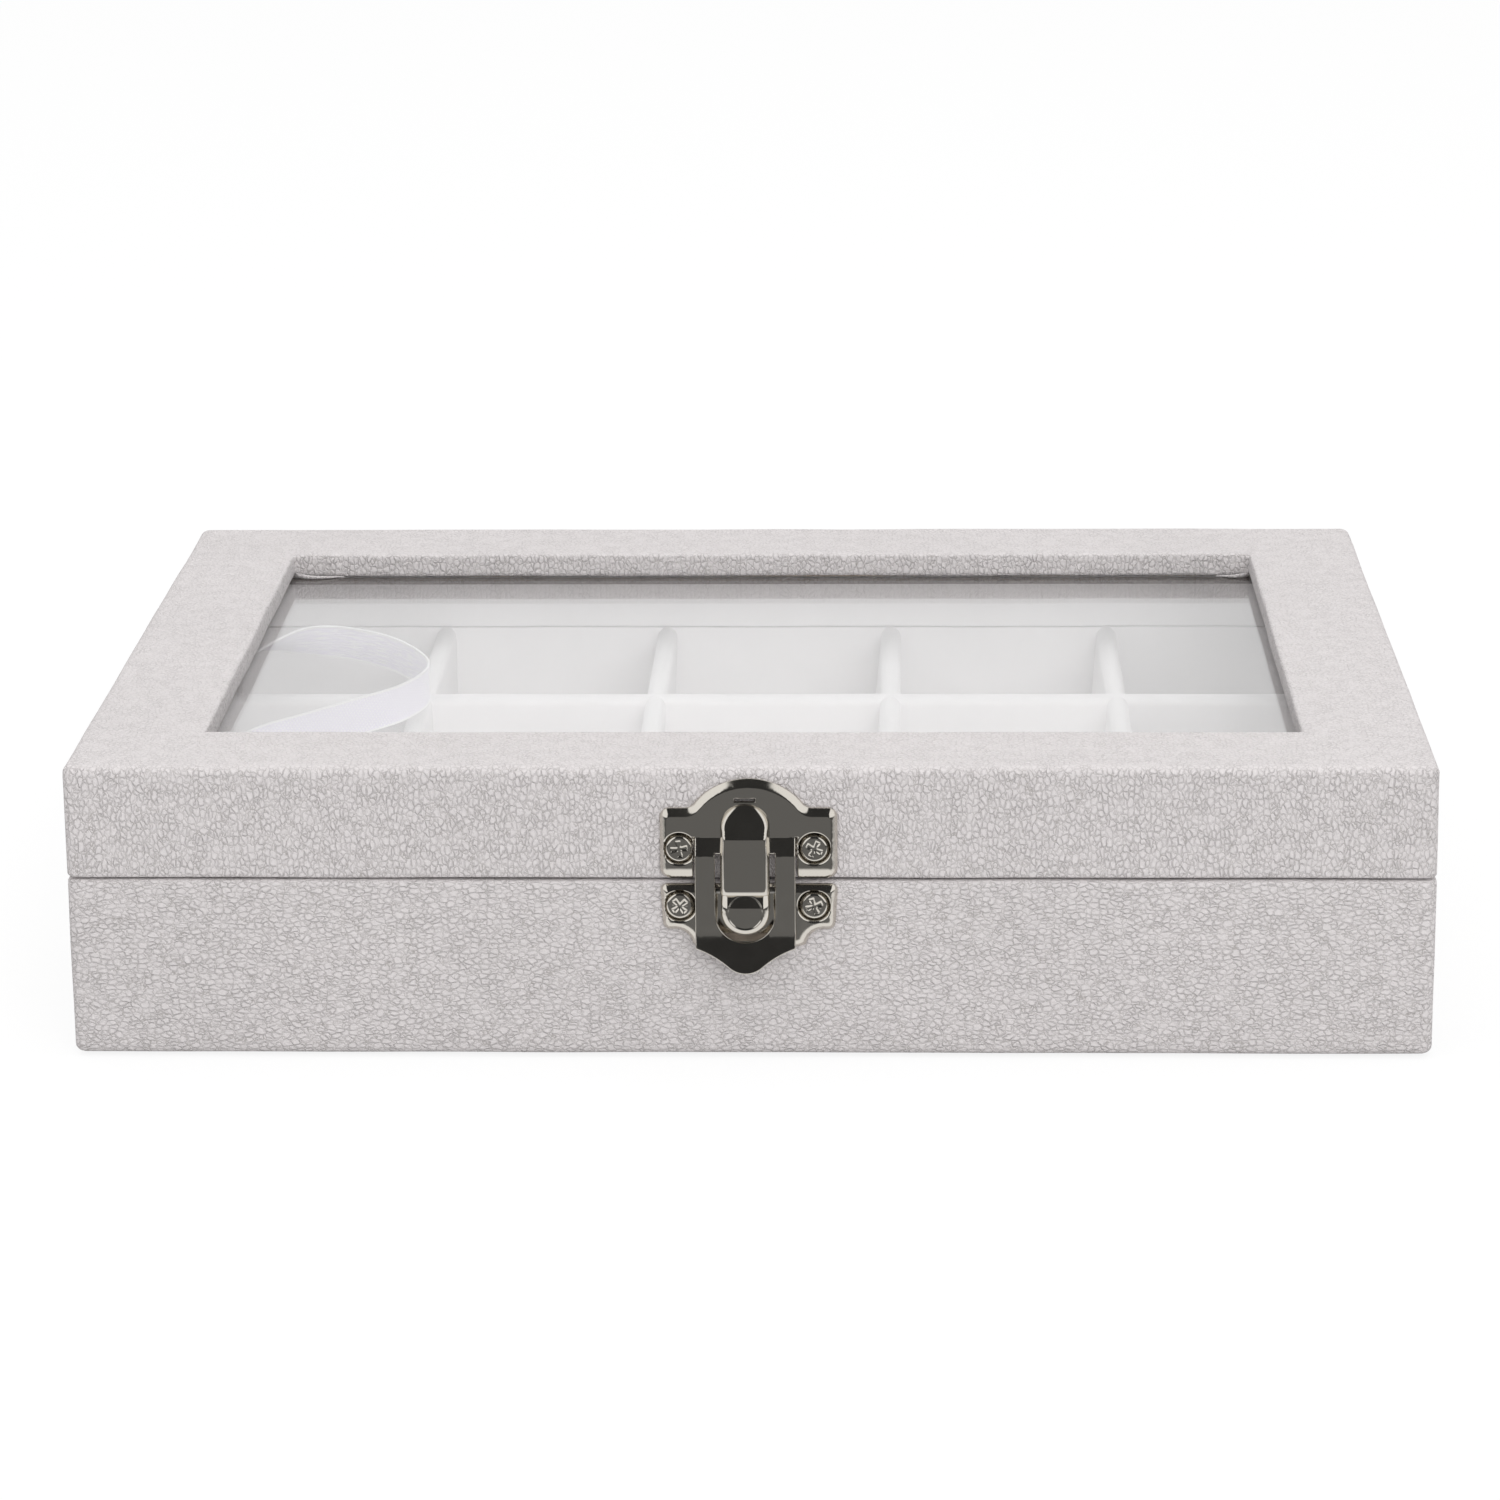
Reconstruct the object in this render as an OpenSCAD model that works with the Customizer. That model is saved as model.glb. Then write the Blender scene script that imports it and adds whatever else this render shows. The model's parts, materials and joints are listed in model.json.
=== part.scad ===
// Display box for rings: a suede-covered case with a framed glass lid, a divided tray and a
// push-button clasp. Origin at the middle of the underside, +X to the right, +Y to the back, +Z up.

/* [Case] */
// Outer width of the box
case_w = 200; // [170:1:260]
// Outer depth of the box
case_d = 150; // [130:1:220]
// Height of the seam between base and lid
seam_z = 27.5; // [26:0.5:45]
// Height of the lid above the seam
lid_h = 17; // [17:0.5:26]
// Gap between the lid's rim and the base's rim
seam_gap = 0.3; // [0.2:0.1:0.6]
// Radius of the upright corners
corner_r = 1.5; // [1.2:0.1:3]
// Radius of the soft long edges
edge_r = 1.2; // [0.9:0.1:2]

/* [Boards and covering] */
// Thickness of the side boards
board_t = 4.4; // [3.5:0.1:6]
// Thickness of the lid's top board
top_t = 3.2; // [2.6:0.1:4]
// Thickness of the bottom board
bottom_t = 2.5; // [2:0.1:4]
// Width of the rebate that holds the bottom board
rebate_w = 2.2; // [1.5:0.1:3]
// Thickness of the suede cover
cover_t = 0.8; // [0.5:0.1:1.1]
// Width of the cover's turn-in under the base
turn_in = 12; // [8:1:20]
// Thickness of the paper on the underside
underlay_t = 0.5; // [0.3:0.1:1]
// Inset of the underside paper from the edge
underlay_inset = 4; // [2:0.5:8]
// Thickness of the velvet-covered liner cards
liner_t = 1.8; // [1.2:0.1:3]
// Drop of the liners' edges inside the rims
liner_drop = 0.3; // [0.1:0.1:1]

/* [Window] */
// Width of the lid's frame at the left and right
frame_side_w = 18.5; // [14:0.5:26]
// Width of the lid's frame at the front and back
frame_front_w = 19.5; // [14:0.5:28]
// Thickness of the glass
glass_t = 2; // [1.5:0.1:2.5]
// Overlap of the glass under the frame
glass_lap = 4; // [2:0.5:6]
// Play round the glass in its rebate
glass_play = 0.3; // [0.1:0.1:0.8]
// Step of the retainer's edge behind the window's edge
retainer_step = 1.5; // [0.5:0.1:3]
// Thickness of the retainer under the glass
retainer_t = 1.2; // [0.8:0.1:1.6]

/* [Tray] */
// Number of compartments from left to right
columns = 5; // [2:1:6]
// Number of compartments from front to back
rows = 3; // [2:1:4]
// Thickness of a velvet-covered divider
divider_t = 3.4; // [2:0.1:5]
// Drop of the dividers' tops below the seam
divider_drop = 0.5; // [0.3:0.1:4]
// Thickness of the padded tray floor
floor_pad_t = 2; // [1:0.1:4]
// Play of a divider in a slot and between the liners
divider_play = 0.1; // [0.05:0.05:0.4]

/* [Clasp plates] */
// Thickness of the stamped sheet
sheet_t = 0.6; // [0.4:0.05:0.7]
// Width of both screwed plates
plate_w = 26; // [25:0.5:32]
// Height of the plates' fronts above the suede
plate_rise = 1.4; // [1.2:0.1:2]
// Width of the plates' sloped rims
rim_w = 1.2; // [1:0.1:1.3]
// Top of the screw ears above the seam
ear_top = 11.2; // [9.5:0.1:11.5]
// Lower edge of the lid plate's ears above the seam
ear_bottom = 0.4; // [0.3:0.1:1]
// Radius of the arched top
arch_r = 10.4; // [9.5:0.1:11]
// Top of the arch above the seam
arch_top = 15.6; // [14.8:0.1:16]
// Radius of the ears' corners
ear_r = 1.7; // [1.6:0.1:2.4]
// Radius of the hollow between an ear and the arch
arch_fillet = 1.5; // [0.8:0.1:2]
// Height of the lid screws above the seam
lid_screw_z = 5.1; // [4.5:0.1:6]
// Depth of the base screws below the seam
base_screw_z = 3.6; // [3.3:0.1:4.2]
// Distance between the screws of one plate
screw_pitch = 19.6; // [19:0.1:20.5]
// Diameter of a clasp screw's head
screw_head = 4; // [3.4:0.1:4.2]
// Diameter of a screw's shank
screw_shank = 1.6; // [1.2:0.1:2]
// Length of a clasp screw under its head
screw_len = 4.6; // [3.5:0.1:5]

/* [Clasp strap and button] */
// Width of the strap that crosses the seam
strap_w = 14.6; // [13:0.1:15]
// Sideways set of the strap on its plate
strap_x = -0.5; // [-0.8:0.1:0.8]
// Start of the strap's outward step above the seam
step_top = 6.9; // [6:0.1:7.5]
// End of the strap's outward step above the seam
step_bottom = 4.3; // [3.5:0.1:5]
// Gap between the strap's back and the plates' fronts
strap_gap = 0.8; // [0.5:0.1:1.2]
// Depth of the strap's shoulders below the seam
strap_drop = 9.6; // [9.2:0.1:11]
// Height of the strap's pointed end
tip_h = 3.6; // [3:0.1:4.2]
// Outward curl of the strap's end, for a finger
curl = 1.1; // [0.5:0.1:1.5]
// Width of the window in the strap
catch_w = 8.7; // [8.3:0.1:9.5]
// Top of the window above the seam
catch_top = 4.8; // [4:0.1:5.5]
// Lower edge of the window below the seam
catch_drop = 8.7; // [8.4:0.1:9]
// Width of the raised tongue
tongue_w = 7.2; // [6:0.1:7.4]
// Top of the tongue above the seam
tongue_top = 12; // [11:0.1:12.6]
// Lower lip of the tongue below the seam
tongue_drop = 0.8; // [0:0.1:1.5]
// Height of the tongue's lip above the strap
tongue_rise = 1.6; // [1.2:0.1:2.4]
// Width of the release button
button_w = 7.2; // [6:0.1:7.4]
// Lower end of the button below the seam
button_drop = 7.7; // [7:0.1:8]
// Height of the button's lower end above the strap
button_rise = 0.6; // [0.4:0.1:1]
// Radius of the finger dimple
dimple_r = 2.6; // [2:0.1:2.8]
// Depth of the finger dimple
dimple_depth = 0.5; // [0.2:0.1:0.7]
// Diameter of the button's pin
pin_d = 1; // [0.8:0.1:1.2]
// Depth of the pin below the seam
pin_drop = 1.3; // [1.2:0.1:1.6]
// Radial play of a pin that turns
pin_play = 0.05; // [0.02:0.01:0.1]
// Gap kept between pieces that move past each other
clearance = 0.3; // [0.2:0.05:0.4]

/* [Hinges] */
// Width of a hinge
hinge_w = 16; // [12:0.5:24]
// Height of one hinge leaf from the pin
leaf_h = 9; // [8:0.5:12]
// Thickness of a hinge leaf
leaf_t = 0.7; // [0.5:0.1:0.9]
// Outer radius of a hinge knuckle
knuckle_r = 1.5; // [1.4:0.05:2]
// Diameter of a hinge pin
hinge_pin_d = 1.6; // [1.2:0.1:1.8]
// Distance between the two hinges
hinge_pitch = 110; // [70:1:140]
// Distance between the screws of one leaf
leaf_screw_pitch = 9.6; // [8:0.1:12]
// Diameter of a hinge screw's head
hinge_screw_head = 3; // [2.4:0.1:3.2]
// Length of a hinge screw under its head
hinge_screw_len = 4.2; // [3:0.1:5]

/* [Ribbon stay] */
// Width of the ribbon
ribbon_w = 6; // [5:0.5:7]
// Thickness of the ribbon
ribbon_t = 0.4; // [0.3:0.05:0.6]

/* [Hidden] */
$fn = 48;

eps = 0.01;

// Levels of the case
case_h = seam_z + lid_h;
base_rim_z = seam_z - seam_gap / 2;
lid_rim_z = seam_z + seam_gap / 2;
base_foot_z = underlay_t + cover_t;
base_board_top = base_rim_z - cover_t;
lid_board_foot = lid_rim_z + cover_t;
lid_board_top = case_h - cover_t;
glass_top = lid_board_top - top_t;
retainer_foot = glass_top - glass_t - retainer_t;
floor_z = base_foot_z + bottom_t;
tray_z = floor_z + floor_pad_t;
divider_top = seam_z - divider_drop;

// Plan sizes
board_w = case_w - 2 * cover_t;
board_d = case_d - 2 * cover_t;
inner_w = board_w - 2 * board_t;
inner_d = board_d - 2 * board_t;
tray_w = inner_w - 2 * liner_t;
tray_d = inner_d - 2 * liner_t;
window_w = case_w - 2 * frame_side_w;
window_d = case_d - 2 * frame_front_w;
glass_w = window_w + 2 * glass_lap;
glass_d = window_d + 2 * glass_lap;
cell_w = (tray_w - (columns - 1) * divider_t) / columns;
cell_d = (tray_d - (rows - 1) * divider_t) / rows;

// Depths of the clasp, outward from the suede of the front
seat_depth = 0.5;
strap_back = plate_rise + strap_gap;
strap_front = strap_back + sheet_t;
lip_front = strap_front + tongue_rise;
button_front = strap_front + button_rise;
screw_seat = plate_rise - seat_depth;
pin_back = 0.45;
pin_fit = 0.02;
pin_out = pin_d / 2 + pin_back;

// Hinge line, behind the back cover
hinge_y = case_d / 2 + knuckle_r + clearance;
knuckle_len = (hinge_w - 2 * clearance) / 3;

// ---------------------------------------------------------------- shared shapes

// Points of an arc in the XY plane, from angle a0 to a1
function arc(cx, cy, r, a0, a1, n = 10) =
    [for (i = [0:n]) let (a = a0 + (a1 - a0) * i / n) [cx + r * cos(a), cy + r * sin(a)]];

// Least radius that a drawn-in corner keeps
least_r = 0.05;

// Outline from a chain of arcs [cx, cy, radius, a0, a1], drawn in by inset all round. An arc that
// runs clockwise is hollow, so it grows where the others shrink.
function outline(chain, inset = 0) = [for (c = chain)
    each arc(c[0], c[1], c[4] > c[3] ? max(c[2] - inset, least_r) : c[2] + inset,
        c[3], c[4], 8)];

// Solid that tapers from one outline to another with as many points, on the front face. Every
// point of an outline is in sight of hub, from which the two end faces fan out.
module tapered_plate(outer, inner, rise, hub) {
    n = len(outer);
    translate([0, -case_d / 2, 0]) rotate([90, 0, 0]) polyhedron(
        points = concat([for (p = outer) [p[0], p[1], 0]], [for (p = inner) [p[0], p[1], rise]],
            [[hub[0], hub[1], 0], [hub[0], hub[1], rise]]),
        faces = [for (i = [0:n - 1]) let (j = (i + 1) % n)
            each [[i, j, 2 * n], [n + j, n + i, 2 * n + 1], [j, i, n + i], [j, n + i, n + j]]]);
}

module rounded_rect(w, h, r) {
    polygon(concat(
        arc(w / 2 - r, h / 2 - r, r, 0, 90), arc(r - w / 2, h / 2 - r, r, 90, 180),
        arc(r - w / 2, r - h / 2, r, 180, 270), arc(w / 2 - r, r - h / 2, r, 270, 360)));
}

// Side view of a block with soft upper and lower edges, standing on y = 0
module edge_profile(w, h, top_r, foot_r) {
    polygon(concat(
        arc(w / 2 - top_r, h - top_r, top_r, 0, 90, 6),
        arc(top_r - w / 2, h - top_r, top_r, 90, 180, 6),
        arc(foot_r - w / 2, foot_r, foot_r, 180, 270, 6),
        arc(w / 2 - foot_r, foot_r, foot_r, 270, 360, 6)));
}

// Block with rounded corners and soft edges, as cloth leaves them when it is drawn over board
module covered_block(w, d, z0, z1, top_r, foot_r) {
    translate([0, 0, z0]) intersection() {
        linear_extrude(z1 - z0) rounded_rect(w, d, corner_r);
        rotate([90, 0, 0]) linear_extrude(d + 2, center = true)
            edge_profile(w, z1 - z0, top_r, foot_r);
        rotate([90, 0, 90]) linear_extrude(w + 2, center = true)
            edge_profile(d, z1 - z0, top_r, foot_r);
    }
}

module block(w, d, z0, z1) {
    translate([-w / 2, -d / 2, z0]) cube([w, d, z1 - z0]);
}

// Puts children, drawn for the front side, on another side of a frame of w by d
module on_side(side, w, d) {
    if (side == "front") translate([0, -d / 2, 0]) children();
    if (side == "back") translate([0, d / 2, 0]) rotate(180) children();
    if (side == "left") translate([-w / 2, 0, 0]) rotate(-90) children();
    if (side == "right") translate([w / 2, 0, 0]) rotate(90) children();
}

function side_length(side, w, d) = side == "front" || side == "back" ? w : d;

// One mitred side of a frame whose outline is w by d, standing between z0 and z1
module mitred_side(side, w, d, t, z0, z1) {
    len = side_length(side, w, d);
    on_side(side, w, d) translate([0, 0, z0]) linear_extrude(z1 - z0)
        polygon([[-len / 2, 0], [len / 2, 0], [len / 2 - t, t], [t - len / 2, t]]);
}

// Extrudes an XZ drawing outward from the front face, between two depths
module outward(from, to) {
    translate([0, -case_d / 2 - from, 0]) rotate([90, 0, 0]) linear_extrude(to - from) children();
}

// Extrudes a drawing of depth against height sideways across the clasp
module across(w) {
    translate([strap_x, -case_d / 2, 0]) rotate([90, 0, -90])
        linear_extrude(w, center = true) children();
}

// A row of round holes or shanks through the front, from depth -len to out
module front_rods(pitch, z, r, len, out) {
    for (s = [-1, 1]) translate([s * pitch / 2, 0, seam_z + z])
        outward(-len, out) circle(r);
}

// The same through the back, at every hinge screw of one leaf row
module back_rods(z, r, len, out) {
    for (h = [-1, 1], s = [-1, 1])
        translate([h * hinge_pitch / 2 + s * leaf_screw_pitch / 2, case_d / 2 + out, z])
            rotate([90, 0, 0]) cylinder(r = r, h = len + out);
}

// Height of the hinge screws from the pin, a little past the middle of the leaf's flat
leaf_screw_z = knuckle_r + (leaf_h - knuckle_r) * 0.52;

// ---------------------------------------------------------------- base of the case

module base_side(side) {
    color("burlywood") difference() {
        mitred_side(side, board_w, board_d, board_t, base_foot_z, base_board_top);
        block(inner_w + 2 * rebate_w, inner_d + 2 * rebate_w, base_foot_z - 1, floor_z);
        front_rods(screw_pitch, -base_screw_z, screw_shank / 2, screw_len, 1);
        back_rods(seam_z - leaf_screw_z, screw_shank / 2, hinge_screw_len, 1);
    }
}

module base_bottom_board() {
    color("burlywood") block(inner_w + 2 * rebate_w, inner_d + 2 * rebate_w, base_foot_z, floor_z);
}

module base_cover() {
    color("gainsboro") difference() {
        covered_block(case_w, case_d, underlay_t, base_rim_z, edge_r / 2, edge_r);
        block(board_w, board_d, base_foot_z, base_board_top);
        block(inner_w, inner_d, floor_z, base_rim_z + 1);
        block(case_w - 2 * turn_in, case_d - 2 * turn_in, 0, base_foot_z + eps);
        front_rods(screw_pitch, -base_screw_z, screw_shank / 2, screw_len, 1);
        back_rods(seam_z - leaf_screw_z, screw_shank / 2, hinge_screw_len, 1);
    }
}

module underside_paper() {
    color("whitesmoke") linear_extrude(underlay_t)
        rounded_rect(case_w - 2 * underlay_inset, case_d - 2 * underlay_inset, corner_r);
}

// ---------------------------------------------------------------- lining and tray

module floor_pad() {
    color("white") block(tray_w, tray_d, floor_z, tray_z);
}

module base_liner(side) {
    color("white") difference() {
        mitred_side(side, inner_w, inner_d, liner_t, floor_z, base_rim_z - liner_drop);
        stay_slot(ribbon_base_end);
    }
}

// Upright card with a soft rounded top, centred on the origin and running along X
module divider_body(len) {
    rotate([90, 0, 90]) linear_extrude(len, center = true) polygon(concat(
        [[-divider_t / 2, tray_z], [divider_t / 2, tray_z]],
        arc(0, divider_top - divider_t / 2, divider_t / 2, 0, 180, 8)));
}

lap_z = (tray_z + divider_top) / 2;

function column_x(i) = -tray_w / 2 + i * cell_w + (i - 0.5) * divider_t;
function row_y(i) = -tray_d / 2 + i * cell_d + (i - 0.5) * divider_t;

module long_divider(i) {
    color("white") difference() {
        translate([column_x(i), 0, 0]) rotate(90) divider_body(tray_d - divider_play);
        for (k = [1:rows - 1]) translate([column_x(i), row_y(k), 0])
            block(divider_t + 1, divider_t + divider_play, lap_z, divider_top + 1);
    }
}

module cross_divider(i) {
    color("white") difference() {
        translate([0, row_y(i), 0]) divider_body(tray_w - divider_play);
        for (k = [1:columns - 1]) translate([column_x(k), row_y(i), 0])
            block(divider_t + divider_play, divider_t + 1, tray_z - 1, lap_z + divider_play);
    }
}

// ---------------------------------------------------------------- lid of the case

module lid_rail(side) {
    color("burlywood") difference() {
        mitred_side(side, board_w, board_d, board_t, lid_board_foot, glass_top);
        front_rods(screw_pitch, lid_screw_z, screw_shank / 2, screw_len, 1);
        back_rods(seam_z + leaf_screw_z, screw_shank / 2, hinge_screw_len, 1);
    }
}

module lid_top_board() {
    color("burlywood") difference() {
        block(board_w, board_d, glass_top, lid_board_top);
        block(window_w + 2 * cover_t, window_d + 2 * cover_t, glass_top - 1, lid_board_top + 1);
    }
}

// Side view of the window opening, which widens in a quarter round at the top
module window_profile(w) {
    polygon(concat(
        [[w / 2, glass_top - 1]],
        arc(w / 2 + edge_r, case_h - edge_r, edge_r, 180, 90, 6),
        [[w / 2 + edge_r, case_h + 1], [-w / 2 - edge_r, case_h + 1]],
        arc(-w / 2 - edge_r, case_h - edge_r, edge_r, 90, 0, 6),
        [[-w / 2, glass_top - 1]]));
}

module lid_cover() {
    color("gainsboro") difference() {
        covered_block(case_w, case_d, lid_rim_z, case_h, edge_r, edge_r / 2);
        difference() {
            block(board_w, board_d, lid_board_foot, lid_board_top);
            block(window_w + 2 * cover_t, window_d + 2 * cover_t, glass_top, lid_board_top + 1);
        }
        block(inner_w, inner_d, lid_rim_z - 1, glass_top);
        intersection() {
            rotate([90, 0, 0]) linear_extrude(case_d, center = true) window_profile(window_w);
            rotate([90, 0, 90]) linear_extrude(case_w, center = true) window_profile(window_d);
        }
        front_rods(screw_pitch, lid_screw_z, screw_shank / 2, screw_len, 1);
        back_rods(seam_z + leaf_screw_z, screw_shank / 2, hinge_screw_len, 1);
    }
}

module glass_pane() {
    color("lightcyan", 0.3) block(glass_w, glass_d, glass_top - glass_t, glass_top);
}

// Rebated strip that holds one edge of the glass up against the top board
module retainer(side) {
    step = 2 * retainer_step;
    color("white") difference() {
        mitred_side(side, inner_w, inner_d,
            max(inner_w - window_w - step, inner_d - window_d - step) / 2,
            retainer_foot, glass_top);
        block(glass_w + 2 * glass_play, glass_d + 2 * glass_play, glass_top - glass_t, glass_top + 1);
        block(window_w + step, window_d + step, retainer_foot - 1, glass_top + 1);
    }
}

module lid_liner(side) {
    color("white") difference() {
        mitred_side(side, inner_w, inner_d, liner_t, lid_rim_z + liner_drop, retainer_foot);
        stay_slot(ribbon_lid_end);
    }
}

// ---------------------------------------------------------------- clasp, lid side

// Arcs of the lid's plate: two screw ears under an arch, with a hollow on each side between them
fillet_z = seam_z + ear_top + arch_fillet;
arch_z = seam_z + arch_top - arch_r;
fillet_x = sqrt(pow(arch_r + arch_fillet, 2) - pow(fillet_z - arch_z, 2));
fillet_end = atan2(fillet_z - arch_z, fillet_x);
ear_x = plate_w / 2 - ear_r;
hasp_chain = [
    [-ear_x, seam_z + ear_bottom + ear_r, ear_r, 180, 270],
    [ear_x, seam_z + ear_bottom + ear_r, ear_r, 270, 360],
    [ear_x, seam_z + ear_top - ear_r, ear_r, 0, 90],
    [fillet_x, fillet_z, arch_fillet, 270, 180 + fillet_end],
    [0, arch_z, arch_r, fillet_end, 180 - fillet_end],
    [-fillet_x, fillet_z, arch_fillet, 360 - fillet_end, 270],
    [-ear_x, seam_z + ear_top - ear_r, ear_r, 90, 180]];

// Stamped pan with sloped rims; inset shrinks it evenly, and rise is the height of its front
module hasp_pan(inset, rise) {
    tapered_plate(outline(hasp_chain, inset),
        outline(hasp_chain, inset + rim_w * rise / plate_rise), rise,
        [0, seam_z + (ear_bottom + ear_top) / 2]);
}

// Front view of the strap: straight sides, then hollow curves of radius bow that run into a round
// nose. They meet where the line between the two centres crosses, at meet from straight down.
bow = 15;
nose = 3.8;

module strap_outline() {
    half = strap_w / 2;
    shoulder = seam_z - strap_drop;
    nose_z = shoulder - tip_h + nose;
    reach = bow + nose;
    corner = [half, tip_h - nose];
    along = (reach * reach + corner * corner - bow * bow) / (2 * reach);
    meet = 90 + atan2(corner[1], corner[0]) - acos(along / norm(corner));
    bow_c = [reach * sin(meet), nose_z - reach * cos(meet)];
    top = atan2(shoulder - bow_c[1], half - bow_c[0]);
    right = arc(bow_c[0], bow_c[1], bow, top, meet + 90);
    translate([strap_x, 0]) polygon(concat(
        [[-half, seam_z + step_top + 1], [half, seam_z + step_top + 1]],
        right,
        arc(0, nose_z, nose, meet - 90, -meet - 90),
        [for (i = [len(right) - 1:-1:0]) [-right[i][0], right[i][1]]]));
}

// Front view of the strap's window, square at the top and round below
module catch_outline() {
    r = catch_w / 2;
    translate([strap_x, 0]) polygon(concat(
        arc(0, seam_z - catch_drop + r, r, 180, 360, 16),
        [[r, seam_z + catch_top], [-r, seam_z + catch_top]]));
}

// Depth against height of the strap, which steps out from the plate, hangs over the seam and
// curls out again at its end, from curl_h above its shoulders
curl_h = 1.6;
curl_z = seam_z - strap_drop + curl_h;

module strap_section() {
    foot = seam_z - strap_drop - tip_h;
    over = 0.5;
    fold = 0.3;
    polygon([
        [plate_rise - sheet_t, seam_z + step_top + over], [plate_rise, seam_z + step_top + over],
        [plate_rise, seam_z + step_top], [strap_front, seam_z + step_bottom],
        [strap_front, curl_z], [strap_front + curl, foot], [strap_back + curl, foot],
        [strap_back, curl_z], [strap_back, seam_z + step_bottom - fold],
        [plate_rise - sheet_t, seam_z + step_top - fold]]);
}

// Dished seats under the screw heads, which flare by dish_flare from the foot of the dish
dish_play = 0.1;
dish_flare = 0.25;
seat_wall = 0.1;

module screw_seats(z) {
    front_rods(screw_pitch, z, screw_head / 2 + dish_play + dish_flare + seat_wall, 0, plate_rise);
}

module screw_dishes(z) {
    for (s = [-1, 1]) translate([s * screw_pitch / 2, -case_d / 2 - screw_seat, seam_z + z])
        rotate([90, 0, 0])
            cylinder(r1 = screw_head / 2 + dish_play, r2 = screw_head / 2 + dish_play + dish_flare,
                h = plate_rise - screw_seat + eps);
    front_rods(screw_pitch, z, screw_shank / 2 + dish_play, 1, plate_rise);
}

// Slot above the tongue, through which its tab is clenched
slot_w = 3.1;
slot_h = 0.7;
slot_rise = 0.1;
slot_z = seam_z + tongue_top + slot_rise + slot_h / 2;
tab_play = 0.1;
// Slit between the strap and the ears beside it
slit_w = 0.25;

module hasp_plate() {
    color("silver") difference() {
        union() {
            difference() {
                hasp_pan(0, plate_rise);
                hasp_pan(sheet_t, plate_rise - sheet_t);
                translate([strap_x, -case_d / 2, 0])
                    block(strap_w + 2 * slit_w, 2 * plate_rise + 2, seam_z, seam_z + step_top);
            }
            intersection() {
                hasp_pan(0, plate_rise);
                screw_seats(lid_screw_z);
            }
            intersection() {
                across(strap_w + 1) strap_section();
                outward(0, strap_front + curl + 1) strap_outline();
            }
        }
        screw_dishes(lid_screw_z);
        outward(0, strap_front + 1) catch_outline();
        outward(0, strap_front) translate([strap_x, slot_z]) square([slot_w, slot_h], center = true);
    }
}

// Form of the pressed tongue: its face is narrower than its foot by tongue_draft on each side,
// rises full to tongue_bend above the seam and slopes back from there to its round top
tongue_draft = 0.6;
tongue_bend = 7.4;

// inset makes the hollow of the pressing
module tongue_form(inset) {
    foot = seam_z - tongue_drop - (inset > 0 ? 1 : 0);
    half = tongue_w / 2 - inset;
    face = half - tongue_draft;
    front = lip_front - inset;
    bend_z = seam_z + tongue_bend;
    crown_z = seam_z + tongue_top - tongue_w / 2;
    crown_rise = 0.3;
    translate([strap_x, -case_d / 2, 0]) hull() {
        for (z = [foot, bend_z]) translate([0, 0, z]) linear_extrude(0.2)
            polygon([[-half, 0], [half, 0], [half, -strap_front], [face, -front],
                [-face, -front], [-half, -strap_front]]);
        translate([0, 0, crown_z]) rotate([90, 0, 0]) {
            cylinder(r = half, h = plate_rise + crown_rise, $fn = 32);
            cylinder(r = half - 1, h = strap_front - inset, $fn = 32);
        }
    }
}

// Everything behind the front surface of the plate and strap
module behind_plate() {
    across(plate_w) polygon([
        [-1, case_h], [plate_rise, case_h], [plate_rise, seam_z + step_top],
        [strap_front, seam_z + step_bottom], [strap_front, 0], [-1, 0]]);
}

module hasp_tongue() {
    lip_r = 0.3;
    color("silver") difference() {
        union() {
            difference() {
                tongue_form(0);
                behind_plate();
                tongue_form(sheet_t);
            }
            translate([strap_x, -case_d / 2 - lip_front + lip_r / 2, seam_z - tongue_drop + lip_r])
                rotate([0, 90, 0]) cylinder(r = lip_r, h = tongue_w + 0.2, center = true);
            outward(plate_rise, plate_rise + sheet_t) translate([strap_x, slot_z - slot_h / 2])
                square([slot_w - 2 * tab_play, 2 * (slot_h - tab_play)], center = true);
            outward(plate_rise - sheet_t, plate_rise + eps) translate([strap_x, slot_z])
                square([slot_w - 2 * tab_play, slot_h - 2 * tab_play], center = true);
        }
    }
}

screw_head_h = 0.9;

// Cross-recessed screws with a domed head, seated in the dishes of a clasp plate
module clasp_screws(z) {
    color("silver") for (s = [-1, 1])
        translate([s * screw_pitch / 2, -case_d / 2 - screw_seat, seam_z + z]) rotate([90, 0, 0])
            screw(screw_head / 2, screw_head_h, screw_shank / 2, screw_len);
}

// Screw along Z with its seat at the origin and its cross-recessed head above
module screw(head_r, head_h, shank_r, len) {
    ball = (head_r * head_r + head_h * head_h) / (2 * head_h);
    recess_l = head_r * 1.2;
    recess_w = 0.5;
    recess_depth = 0.5;
    difference() {
        union() {
            intersection() {
                translate([0, 0, head_h - ball]) sphere(ball, $fn = 64);
                cylinder(r = head_r, h = head_h + 1);
            }
            translate([0, 0, -len + shank_r]) cylinder(r = shank_r, h = len - shank_r + eps);
            translate([0, 0, -len]) cylinder(r1 = 0.1, r2 = shank_r, h = shank_r);
        }
        for (a = [0, 90]) rotate(a)
            translate([-recess_l / 2, -recess_w / 2, head_h - recess_depth])
                cube([recess_l, recess_w, recess_depth + 1]);
    }
}

// ---------------------------------------------------------------- clasp, base side

// Levels of the keeper plate: a straight top, upright sides and a narrower foot behind the strap
keeper_top = seam_z - clearance;
keeper_side = seam_z - 6;
keeper_foot = seam_z - 10.1;
keeper_foot_w = 15.8;
side_draft = 0.5;
foot_draft = 0.4;
rim_steepness = 0.75;
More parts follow.
